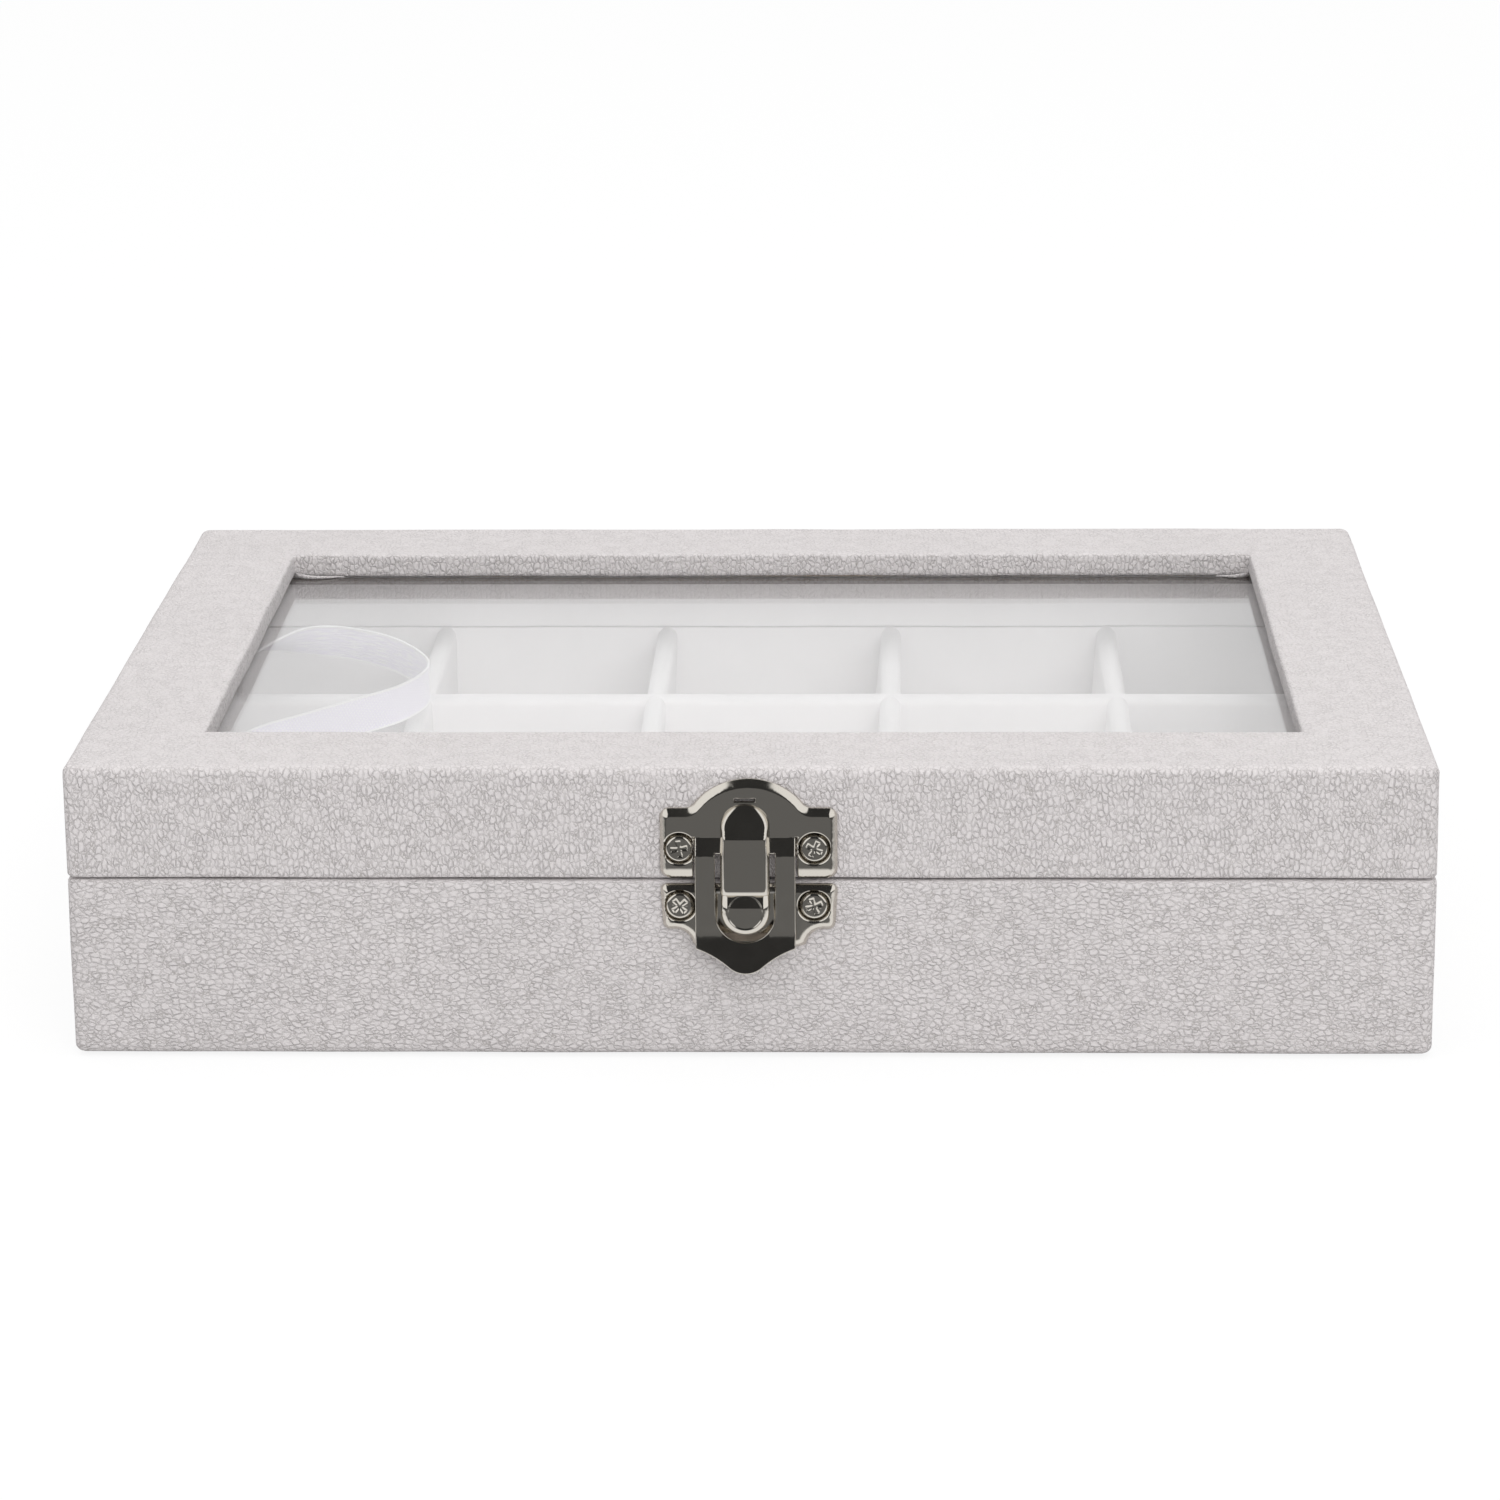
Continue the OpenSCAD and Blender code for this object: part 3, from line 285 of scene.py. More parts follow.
# The retainer strips' upright sides are painted dark, as painted shade under the window's rails
velvetWithSideShade = makeVelvet({**velvetLook, "paintedSideShade": "625c58"}, "velvet_painted_side_shade")
glass = makeGlass()
nickel = makeNickel(nickelLook)
satin = makeSatin(satinLook)
fibreboard = makeStock("fibreboard", "a3845c", "b79a70", 0.8, 0.85, 0.0, 0.05)
paper = makeStock("pasted_paper", "bdbbb8", "c6c4c1", 0.6, 0.9, 0.0, 0.02)
steel = makeStock("drawn_steel", "8f8d8a", "a19f9b", 0.5, 0.3, 1.0, 0.005)

slotMaterials = {
    "suede_cover": suede, "fibreboard": fibreboard, "white_velvet": velvet, "grey_paper": paper,
    "clear_glass": glass, "nickel_plated_steel": nickel, "spring_steel": steel, "satin_ribbon": satin,
}
nodeSlot = {part["node"]: part["material_slot"] for part in frame["record"]["subparts"]}
for name, node in frame["nodes"].items():
    node.data.materials.clear()
    # The retainers get the velvet with painted shade on their upright sides
    node.data.materials.append(velvetWithSideShade if name.endswith("_retainer") else slotMaterials[nodeSlot[name]])
print("materials")


# Points are in millimetres. A piece rides its body, if one is given, and stands for one CAD node,
# from which it has its slot and material
def addPiece(name, points, faces, body, node, sharp=None):
    mesh = bpy.data.meshes.new(name)
    mesh.from_pydata([tuple(float(c) * mm for c in p) for p in points], [],
                     [tuple(int(i) for i in f) for f in faces])
    mesh.polygons.foreach_set("use_smooth", [True] * len(mesh.polygons))
    mesh.update()
    if sharp:
        mesh.set_sharp_from_angle(angle=math.radians(sharp))
    obj = bpy.data.objects.new(name, mesh)
    bpy.context.scene.collection.objects.link(obj)
    mesh.materials.append(slotMaterials[nodeSlot[node]])
    if body:
        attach(obj, body)
    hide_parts(node)
    return obj


def arcPoints(cx, cz, r, a0, a1, count=12):
    angles = np.radians(np.linspace(a0, a1, count + 1))
    return np.column_stack((cx + r * np.cos(angles), cz + r * np.sin(angles)))


# Points of a closed loop, no further apart than step
def evened(loop, step):
    out = []
    for a, b in zip(loop, np.roll(loop, -1, axis=0)):
        count = max(1, math.ceil(np.linalg.norm(b - a) / step))
        if np.linalg.norm(b - a) > 1e-6:
            out += [a + (b - a) * k / count for k in range(count)]
    return np.array(out)


def edgeDistance(points, loops):
    best = np.full(len(points), 1e9)
    for loop in loops:
        a, b = loop, np.roll(loop, -1, axis=0)
        ab = b - a
        size = np.maximum((ab ** 2).sum(1), 1e-12)
        for first in range(0, len(points), 1500):
            p = points[first:first + 1500]
            t = np.clip(((p[:, None] - a) * ab).sum(2) / size, 0, 1)
            gap = np.linalg.norm(p[:, None] - (a + t[..., None] * ab), axis=2).min(1)
            best[first:first + 1500] = np.minimum(best[first:first + 1500], gap)
    return best


def isInside(points, loops):
    odd = np.zeros(len(points), bool)
    for loop in loops:
        a, b = loop, np.roll(loop, -1, axis=0)
        px, pz = points[:, :1], points[:, 1:]
        crosses = (a[:, 1] > pz) != (b[:, 1] > pz)
        rise = np.where(np.abs(b[:, 1] - a[:, 1]) < 1e-12, 1e-12, b[:, 1] - a[:, 1])
        left = px < a[:, 0] + (pz - a[:, 1]) / rise * (b[:, 0] - a[:, 0])
        odd ^= (crosses & left).sum(1) % 2 == 1
    return odd


# A pressed sheet seen from the front: the loops give its cut outline and holes in x and z, height
# gives how far its face stands out from the case, and the cut edge is rounded over by edgeRound
def pressedSheet(name, loops, height, body, node, thick=0.6, edgeRound=0.16, step=0.3,
                 rings=(0.05, 0.11, 0.17, 0.4, 0.7), front=-75.0, spots=()):
    cut = [evened(loop, step) for loop in loops]
    flat, edges = [], []
    for loop in cut:
        first = len(flat)
        flat += list(loop)
        edges += [(first + i, first + (i + 1) % len(loop)) for i in range(len(loop))]
    extra = []
    for loop in cut:
        along = np.roll(loop, -1, axis=0) - np.roll(loop, 1, axis=0)
        length = np.maximum(np.linalg.norm(along, axis=1), 1e-9)
        side = np.column_stack((-along[:, 1], along[:, 0])) / length[:, None]
        if isInside(loop + side * 0.02, cut).mean() < 0.5:
            side = -side
        for k, d in enumerate(rings):
            ring = (loop + side * d)[k % 2::1 if d < 0.2 else 2]
            extra.append(ring[(edgeDistance(ring, cut) > 0.93 * d) & isInside(ring, cut)])
    low, high = np.concatenate(cut).min(0), np.concatenate(cut).max(0)
    rows = np.arange(low[1], high[1], step * 0.87)
    columns = np.arange(low[0], high[0], step)
    grid = np.array([(x + (i % 2) * step / 2, z) for i, z in enumerate(rows) for x in columns])
    grid = grid[isInside(grid, cut)]
    grid = grid[edgeDistance(grid, cut) > rings[-1] + step * 0.5]
    for x, z, radii in spots:
        for r in radii:
            circle = arcPoints(x, z, r, 0, 360, 64)[:-1]
            grid = grid[np.abs(np.hypot(grid[:, 0] - x, grid[:, 1] - z) - r) > step * 0.4]
            extra.append(circle[isInside(circle, cut) & (edgeDistance(circle, cut) > 0.05)])
    extra.append(grid)
    allPoints = [Vector(p) for p in np.concatenate([np.array(flat)] + extra)]
    made = geometry.delaunay_2d_cdt(allPoints, edges, [], 0, 1e-4)
    points = np.array([tuple(v) for v in made[0]])
    triangles = np.array([f for f in made[2]])
    triangles = triangles[isInside(points[triangles].mean(1), cut)]
    used = np.unique(triangles)
    lookup = np.full(len(points), -1)
    lookup[used] = np.arange(len(used))
    points, triangles = points[used], lookup[triangles]
    out = height(points)
    gap = edgeDistance(points, cut)
    over = np.clip(1 - gap / edgeRound, 0, 1)
    drop = edgeRound * (1 - np.sqrt(1 - over ** 2))
    face = np.column_stack((points[:, 0], front - out, points[:, 1] + seam))
    a, b, c = face[triangles[:, 0]], face[triangles[:, 1]], face[triangles[:, 2]]
    normal = np.cross(b - a, c - a)
    flip = normal[:, 1] > 0
    triangles[flip] = triangles[flip][:, ::-1]
    normal[flip] *= -1
    turned = np.zeros_like(face)
    for k in range(3):
        np.add.at(turned, triangles[:, k], normal)
    turned /= np.linalg.norm(turned, axis=1)[:, None]
    back = face - turned * thick
    back[:, 1] = np.minimum(back[:, 1], front - 0.02)
    shown = face - turned * drop[:, None]
    count = len(points)
    faces = [tuple(t) for t in triangles] + [tuple(count + t[::-1]) for t in triangles]
    borders = {}
    for t in triangles:
        for i in range(3):
            borders[(t[i], t[(i + 1) % 3])] = True
    faces += [(j, i, count + i, count + j) for i, j in borders if (j, i) not in borders]
    return addPiece(name, np.concatenate((shown, back)), faces, body, node, sharp=50)


def smooth(t):
    t = np.clip(t, 0, 1)
    return t * t * (3 - 2 * t)


# A rectangle's ring with round corners, the same number of points at every size
def rectRing(halfW, halfD, r, z, along, across, corner=5):
    r = min(r, halfW, halfD)
    ring = []
    sides = (((halfW, -halfD), (0, 1), across), ((halfW, halfD), (-1, 0), along),
             ((-halfW, halfD), (0, -1), across), ((-halfW, -halfD), (1, 0), along))
    for k, ((x, y), (dx, dy), count) in enumerate(sides):
        span = 2 * (halfD if dy else halfW) - 2 * r
        for i in range(count + 1):
            t = r + span * i / count
            ring.append((x + dx * t, y + dy * t, z))
        cx = (halfW - r) * (1 if k < 1 or k == 3 else -1)
        cy = (halfD - r) * (1 if k < 2 else -1)
        for i in range(1, corner):
            a = math.radians(90 * k + 90 * i / corner)
            ring.append((cx + r * math.cos(a), cy + r * math.sin(a), z))
    return ring


def loftRings(rings, closed):
    count = len(rings[0])
    points = [p for ring in rings for p in ring]
    last = len(rings) if closed else len(rings) - 1
    faces = []
    for k in range(last):
        a, b = k * count, ((k + 1) % len(rings)) * count
        faces += [(a + i, a + (i + 1) % count, b + (i + 1) % count, b + i) for i in range(count)]
    return points, faces


# Cloth drawn over board, with rounded edges. It is slightly uneven, as glue leaves it
coverShape = {
    "halfW": 100, "halfD": 75, "foot": 0.5, "top": 44.5,
    "baseRim": 27.33, "lidRim": 27.67,  # the cloths stop just short of each other at the seam
    "window": 17.9, "frontMore": 1.0,  # breadth of the lid's rails, and how much broader the front one is
    "round": 1.25, "rimRound": 0.6, "corner": 1.6,
    "uneven": 0.14, "wave": 19.0,
}


def unevenly(points, cfg, seedShift):
    out = []
    for x, y, z in points:
        where = Vector((x / cfg["wave"] + seedShift, y / cfg["wave"], z / cfg["wave"] * 1.6))
        shift = noise.noise_vector(where) * cfg["uneven"]
        out.append((x + shift.x, y + shift.y, z + shift.z * 0.7))
    return out


def quarter(cx, cz, r, a0, a1, count=5):
    return [tuple(p) for p in arcPoints(cx, cz, r, a0, a1, count)]


# Rows of a profile: inset at the sides, inset at the front and back, height and corner radius
def coverLoft(profile, cfg):
    return loftRings([rectRing(cfg["halfW"] - insetX, cfg["halfD"] - insetY, r, z, 66, 50)
                      for insetX, insetY, z, r in profile], True)


def makeCovers(cfg):
    e, rim, corner, foot, top = (cfg[k] for k in ("round", "rimRound", "corner", "foot", "top"))
    # From inside over the rim, down the wall, in under the bottom and back up behind the cloth
    over = cfg["baseRim"]
    base = ([(5.2, 20.0), (5.2, 24.0), (5.25, 26.6)] + quarter(4.7, over - rim, rim, 0, 90)
            + [(3.5, over), (2.2, over)] + quarter(rim, over - rim, rim, 90, 180)
            + [(0, z) for z in np.linspace(25.5, 3.2, 9)] + quarter(e, foot + e, e, 180, 270)
            + [(4.0, foot), (8.0, foot), (11.9, foot), (11.9, 1.2), (5.0, 1.3), (0.9, 1.5)]
            + [(0.85, 14.0), (0.85, 26.0), (3.0, 26.4), (4.5, 20.0)])
    profile = [(inset, inset, z, max(corner - inset * 0.8, 0.15)) for inset, z in base]
    points, faces = coverLoft(profile, cfg)
    addPiece("base_cover_cloth", unevenly(points, cfg, 3.1), [f[::-1] for f in faces], "base", "base_cover")
    # The lid's goes up the wall, over the top, down into the window and back behind the cloth
    over, window, more = cfg["lidRim"], cfg["window"], cfg["frontMore"]
    outer = ([(5.2, 33.0), (5.2, 30.0), (5.25, 28.4)] + quarter(4.7, over + rim, rim, 0, -90)
             + [(3.5, over), (2.2, over)] + quarter(rim, over + rim, rim, 270, 180)
             + [(0, z) for z in np.linspace(29.5, 42.2, 6)] + quarter(e, top - e, e, 180, 90))
    inner = quarter(window, top - rim, rim, 90, 0) + [(18.5, 43.0), (18.5, 42.0), (18.48, 41.3)]
    inner += [(18.36, 40.95), (18.12, 40.75), (17.85, 40.56)]
    behind = [(17.74, 40.8), (17.7, 43.6), (6.0, 43.75), (0.9, 43.6), (0.85, 36.0), (0.85, 28.5), (4.5, 28.5),
              (4.4, 33.0)]
    profile = [(inset, inset, z, max(corner - inset * 0.8, 0.15)) for inset, z in outer]
    profile += [(e + (window - e) * t, e + (window + more - e) * t, top, 0.4)
                for t in np.linspace(0.12, 0.93, 9)]
    profile += [(inset, inset + more, z, 0.35) for inset, z in inner]
    profile += [(inset, inset + (more if inset > 17 else 0), z, 0.3) for inset, z in behind]
    points, faces = coverLoft(profile, cfg)
    addPiece("lid_cover_cloth", unevenly(points, cfg, 9.4), faces, "lid", "lid_cover")


makeCovers(coverShape)

# Where the cloth is tucked in at the window's back corners, a fold of it stays proud on the glass
foldShape = {"x": 81.35, "y": 55.45, "reach": 8.5, "out": 1.5, "tall": 0.75, "thick": 0.28, "foot": 40.56}


def makeFold(cfg, side, name):
    steps, points = 14, []
    section = ((0, 0), (-1, 0.15), (-1.1, 0.6), (-0.6, 1), (0.2, 0.85), (0.3, 0.3))
    n = len(section)
    for k in range(steps + 1):
        t = k / steps
        x = side * (cfg["x"] - cfg["reach"] * t)
        y = cfg["y"] - cfg["out"] * math.sin(math.pi * min(1, t * 1.15)) * (1 - 0.45 * t)
        tall = cfg["tall"] * (1 - t) ** 0.8 + 0.1
        points += [(x, y + u * cfg["thick"], cfg["foot"] + v * tall) for u, v in section]
    faces = [(n * k + i, n * k + (i + 1) % n, n * k + n + (i + 1) % n, n * k + n + i)
             for k in range(steps) for i in range(n)]
    faces += [tuple(range(n - 1, -1, -1)), tuple(range(n * steps, n * steps + n))]
    if side < 0:
        faces = [f[::-1] for f in faces]
    addPiece(name, points, faces, "lid", "lid_cover")


makeFold(foldShape, -1, "left_corner_fold")
makeFold({**foldShape, "reach": 5.5, "out": 1.1}, 1, "right_corner_fold")
print("covers")


# A bar of card in velvet between two corners, with soft edges above and square ones at its foot
def softBar(name, low, high, node, body, top=1.6, foot=0.3, lean=0.0, uneven=0.1, wave=11.0, up=1):
    low, high = np.array(low, float), np.array(high, float)
    size = high - low
    run = 0 if size[0] > size[1] else 1
    side = 1 - run
    w, h, length = size[side] / 2, size[2], size[run]
    top, foot = min(top, w * 0.98, h / 2), min(foot, w * 0.5)
    ring = (quarter(w - foot, foot, foot, -90, 0, 3) + [(w, h * 0.45)]
            + quarter(w - top, h - top, top, 0, 90, 6) + quarter(top - w, h - top, top, 90, 180, 6)
            + [(-w, h * 0.45)] + quarter(foot - w, foot, foot, 180, 270, 3))
    between = np.linspace(2, length - 2, max(int(length / 3), 3))
    stations = np.concatenate(([0, 0.25, 0.8], between, [length - 0.8, length - 0.25, length]))
    points = []
    for s in stations:
        pinch = 1 - 0.12 * max(0, 1 - min(s, length - s) / 0.8) ** 2
        for u, v in ring:
            p = [0, 0, 0]
            p[run] = low[run] + s
            p[side] = (low[side] + high[side]) / 2 + u * pinch + lean * smooth(v / h)
            p[2] = low[2] + v if up > 0 else high[2] - v
            shift = noise.noise_vector(Vector(p) / wave) * uneven * min(1, v / h * 2)
            points.append((p[0] + shift.x, p[1] + shift.y, p[2] + shift.z))
    count, last = len(ring), (len(stations) - 1) * len(ring)
    faces = [(k + i, k + (i + 1) % count, k + count + (i + 1) % count, k + count + i)
             for k in range(0, last, count) for i in range(count)]
    faces += [tuple(range(count)), tuple(reversed(range(last, last + count)))]
    if (run == 1) == (up > 0):
        faces = [f[::-1] for f in faces]
    return addPiece(name, points, faces, body, node, sharp=60)


trayShape = {
    "cardOut": (94.7, 69.7), "cardIn": (93.0, 68.0),  # outer and inner faces of the liner cards
    "cardFoot": 3.8, "lidCardTop": 37.2,
    "meet": 26.85, "gap": 0.15,  # the velvet of base and lid meets in a fine line just under the seam
    "longAt": (-56.82, -18.94, 18.94, 56.82), "crossAt": (-23.24, 23.24),
    "lean": (0.0, 0.7, 1.6, 1.0),  # the long dividers stand a little crooked
    "half": 1.7, "foot": 5.8, "longTop": 26.9, "crossTop": 27.0,
    "pad": (92.9, 67.9), "padFoot": 3.82, "padEdge": 5.35, "fullness": 0.42, "fullAfter": 12,
    "across": (90, 66),
}


def cardBoxes(cfg, foot, top):
    (w, d), (inW, inD) = cfg["cardOut"], cfg["cardIn"]
    return (("front", (-w, -d, foot), (w, -inD, top)), ("back", (-w, inD, foot), (w, d, top)),
            ("left", (-w, -d, foot), (-inW, d, top)), ("right", (inW, -d, foot), (w, d, top)))


def makeTray(cfg):
    half, foot = cfg["half"], cfg["foot"]
    halfW, halfD = cfg["pad"]
    for i, (x, lean) in enumerate(zip(cfg["longAt"], cfg["lean"]), 1):
        softBar(f"long_divider_{i}_velvet", (x - half, -halfD, foot), (x + half, halfD, cfg["longTop"]),
                f"long_divider_{i}", "base", lean=lean)
    for i, y in enumerate(cfg["crossAt"], 1):
        softBar(f"cross_divider_{i}_velvet", (-halfW, y - half, foot), (halfW, y + half, cfg["crossTop"]),
                f"cross_divider_{i}", "base")
    for side, low, high in cardBoxes(cfg, cfg["cardFoot"], cfg["meet"]):
        softBar(f"base_{side}_lining", low, high, f"base_{side}_liner", "base", top=0.25)
    for side, low, high in cardBoxes(cfg, cfg["meet"] + cfg["gap"], cfg["lidCardTop"]):
        softBar(f"lid_{side}_lining", low, high, f"lid_{side}_liner", "lid", top=0.25, up=-1)


makeTray(trayShape)


# The tray's floor is a thin foam pad, fullest between the dividers
def makePad(cfg):
    (halfW, halfD), (nx, ny) = cfg["pad"], cfg["across"]
    wallsX, wallsY = (-94, *cfg["longAt"], 94), (-69, *cfg["crossAt"], 69)
    top, bottom = [], []
    for j in range(ny + 1):
        for i in range(nx + 1):
            x, y = -halfW + 2 * halfW * i / nx, -halfD + 2 * halfD * j / ny
            near = min(min(abs(x - c) for c in wallsX), min(abs(y - c) for c in wallsY))
            full = float(smooth(near / cfg["fullAfter"]))
            lumps = noise.noise(Vector((x / 9, y / 9, 1.7)))
            top.append((x, y, cfg["padEdge"] + cfg["fullness"] * full + 0.12 * lumps))
            bottom.append((x, y, cfg["padFoot"]))
    count, row = len(top), nx + 1
    faces = []
    for j in range(ny):
        for i in range(nx):
            a = j * row + i
            faces.append((a, a + 1, a + row + 1, a + row))
            faces.append((count + a, count + a + row, count + a + row + 1, count + a + 1))
    rim = [*range(nx), *(j * row + nx for j in range(ny))]
    rim += [*(ny * row + i for i in range(nx, 0, -1)), *(j * row for j in range(ny, 0, -1))]
    faces += [(a, count + a, count + b, b) for a, b in zip(rim, rim[1:] + rim[:1])]
    pad = addPiece("tray_floor_pad", top + bottom, faces, "base", "floor_pad", sharp=50)


makePad(trayShape)
print("tray")


# The clasp is stamped sheet. Its heights are measured from the seam, and front is out from the case
plate = {"w": 26.0, "rise": 1.4, "rim": 1.25, "footRim": 2.1, "earTop": 11.2, "earFoot": 0.4, "earR": 1.5,
         "archR": 10.4, "archTop": 15.6, "fillet": 1.5, "lip": 0.3, "footLip": 0.62,
         "tabSlot": (12.45, 1.5, 0.22)}
strap = {"x": -0.5, "half": 7.3, "slit": 0.28, "stepTop": 6.9, "stepFoot": 4.3, "front": 2.8, "drop": 9.6,
         "tip": 3.6, "bow": 15.0, "nose": 3.8, "curlTop": 7.3, "curl": 1.3,
         "windowHalf": 4.35, "windowTop": 4.8, "windowFoot": 8.7}
tongue = {"half": 3.7, "top": 12.0, "foot": -1.3, "front": 4.4, "crown": 2.0, "bend": 7.2, "side": 0.95}
button = {"half": 3.6, "top": -0.7, "foot": -7.7, "front": 3.4, "lean": 1.0, "rim": 0.95,
          "dimple": 2.6, "depth": 0.1, "dimpleZ": -4.05}
screwPlaces = [(-10.1, 5.1), (9.55, 5.1), (-10.1, -3.6), (9.5, -3.6)]
seatRings = (2.04, 2.12, 2.2, 2.32, 2.45, 2.57, 2.7)
screwSeat = 0.8


def haspLoops():
    earX = plate["w"] / 2 - plate["earR"]
    archZ = plate["archTop"] - plate["archR"]
    filletZ = plate["earTop"] + plate["fillet"]
    filletX = math.sqrt((plate["archR"] + plate["fillet"]) ** 2 - (filletZ - archZ) ** 2)
    end = math.degrees(math.atan2(filletZ - archZ, filletX))
    foot, top, r = plate["earFoot"] + plate["earR"], plate["earTop"] - plate["earR"], plate["earR"]
    upper = np.concatenate((arcPoints(earX, top, r, 0, 90),
                            arcPoints(filletX, filletZ, plate["fillet"], 270, 180 + end),
                            arcPoints(0, archZ, plate["archR"], end, 180 - end, 48),
                            arcPoints(-filletX, filletZ, plate["fillet"], 360 - end, 270),
                            arcPoints(-earX, top, r, 90, 180)))
    pan = np.concatenate((arcPoints(-earX, foot, r, 180, 270), arcPoints(earX, foot, r, 270, 360), upper))
    half, shoulder = strap["half"], -strap["drop"]
    reach = strap["bow"] + strap["nose"]
    corner = (half, strap["tip"] - strap["nose"])
    alongTip = (reach ** 2 + corner[0] ** 2 + corner[1] ** 2 - strap["bow"] ** 2) / (2 * reach)
    opening = math.degrees(math.acos(alongTip / math.hypot(*corner)))
    meet = 90 + math.degrees(math.atan2(corner[1], corner[0])) - opening
    noseZ = shoulder - strap["tip"] + strap["nose"]
    bowX, bowZ = reach * math.sin(math.radians(meet)), noseZ - reach * math.cos(math.radians(meet))
    start = math.degrees(math.atan2(shoulder - bowZ, half - bowX))
    right = arcPoints(bowX, bowZ, strap["bow"], start % 360, meet + 90, 16)
    left = np.column_stack((-right[::-1, 0], right[::-1, 1]))
    nose = arcPoints(0, noseZ, strap["nose"], meet - 90, -meet - 90, 16)
    tipLine = np.concatenate((right, nose, left))[::-1] + (strap["x"], 0)
    inL, inR = strap["x"] - half, strap["x"] + half
    earL, earR, stepZ = inL - strap["slit"], inR + strap["slit"], strap["stepTop"]
    outline = np.concatenate((arcPoints(-earX, foot, r, 180, 270),
                              [(earL, plate["earFoot"]), (earL, stepZ), (inL, stepZ)], tipLine,
                              [(inR, stepZ), (earR, stepZ), (earR, plate["earFoot"])],
                              arcPoints(earX, foot, r, 270, 360), upper))
    w = strap["windowHalf"]
    window = np.concatenate((arcPoints(strap["x"], -strap["windowFoot"] + w, w, 180, 360, 24),
                             [(strap["x"] + w, strap["windowTop"]), (strap["x"] - w, strap["windowTop"])]))
    slotZ, u, v = plate["tabSlot"]
    left, right, low, high = strap["x"] - u, strap["x"] + u, slotZ - v, slotZ + v
    slotLoop = np.array([(left, low), (right, low), (right, high), (left, high)])
    return pan, [outline, window, slotLoop]


haspPan, haspCut = haspLoops()


# Domed at its rim, and with a broader, shallower slope at the foot of the hasp's ears
def panHeight(points, pan, footRim=None, footZ=None):
    rim = edgeDistance(points, [pan])
    if footRim:
        upper = points[:, 1] > footZ + footRim
        side = plate["w"] / 2 - np.abs(points[:, 0])
        rim = np.where(upper, rim, np.minimum(side, rim + 9 * (side > 1.4)))
    t = np.clip(rim / plate["rim"], 0, 1)
    out = plate["lip"] + (plate["rise"] - plate["lip"]) * np.sin(np.pi / 2 * t)
    if footRim:
        t = np.clip((points[:, 1] - footZ) / footRim, 0, 1)
        out = np.minimum(out, plate["footLip"] + (plate["rise"] - plate["footLip"]) * (1 - (1 - t) ** 2))
    return out


# Each screw sits in a dish
def dished(points, out, places):
    for x, z in places:
        r = np.hypot(points[:, 0] - x, points[:, 1] - z)
        rise = (plate["rise"] - 0.75) * np.clip((r - 2.08) / 0.5, 0, 1) ** 0.8
        out = np.minimum(out, screwSeat + rise + 2 * np.clip(r - 2.58, 0, 1))
    return out


# The strap bulges forward below its step, to pass over the button
def strapHeight(z):
    step = smooth((strap["stepTop"] - z) / (strap["stepTop"] - strap["stepFoot"]))
    return plate["rise"] + (strap["front"] - plate["rise"]) * step


def haspHeight(points):
    x, z = points[:, 0], points[:, 1]
    out = panHeight(points, haspPan, plate["footRim"], plate["earFoot"])
    out = dished(points, out, screwPlaces[:2])
    end = -strap["drop"] - strap["tip"]
    toEnd = np.clip((-strap["curlTop"] - z) / (-strap["curlTop"] - end), 0, 1)
    hang = strapHeight(z) + strap["curl"] * toEnd ** 1.2
    around = np.hypot(x - strap["x"], np.maximum(z - 8.3, 0))
    crease = 0.05 * np.exp(-((around - 4.6) / 0.25) ** 2) * smooth((z - 7.5) / 2)
    onStrap = (np.abs(x - strap["x"]) < strap["half"] + 0.02) & (z < strap["stepTop"] + 0.01)
    return np.where(onStrap, hang, out - crease)


pressedSheet("hasp_plate_sheet", haspCut, haspHeight, "lid", "hasp_plate",
             spots=[(x, z, seatRings) for x, z in screwPlaces[:2]])


def tongueHeight(points):
    x, z = points[:, 0] - strap["x"], points[:, 1]
    under = strapHeight(z)
    fall = np.clip((z - tongue["bend"]) / (tongue["top"] - 0.4 - tongue["bend"]), 0, 1.1)
    bent = np.where(fall < 0.15, fall ** 2 / 0.3, fall - 0.075)
    top = tongue["front"] - (tongue["front"] - tongue["crown"]) * bent / 0.925
    top = np.maximum(top, under + 0.1) - 0.05 * (x / tongue["half"]) ** 2
    aroundTop = np.hypot(x, z - tongue["top"] + tongue["half"])
    sideways = tongue["half"] - np.where(z > tongue["top"] - tongue["half"], aroundTop, np.abs(x))
    wall = np.clip(sideways / (tongue["side"] - 0.4 * smooth((z - 7) / 3)), 0, 1)
    shape = np.sin(np.pi / 2 * smooth(wall * 0.85 + 0.15)) ** 0.8
    lipBack = 0.45 * np.clip((tongue["foot"] + 0.8 - z) / 0.8, 0, 1) ** 2
    return under + 0.05 + (top - under - lipBack) * np.clip(shape, 0, 1)


tongueLoop = np.concatenate((
    arcPoints(strap["x"], tongue["top"] - tongue["half"], tongue["half"], 0, 180, 28),
    [(strap["x"] - tongue["half"], tongue["foot"]), (strap["x"] + tongue["half"], tongue["foot"])]))
pressedSheet("hasp_tongue_cap", [tongueLoop], tongueHeight, "lid", "hasp_tongue", step=0.22)


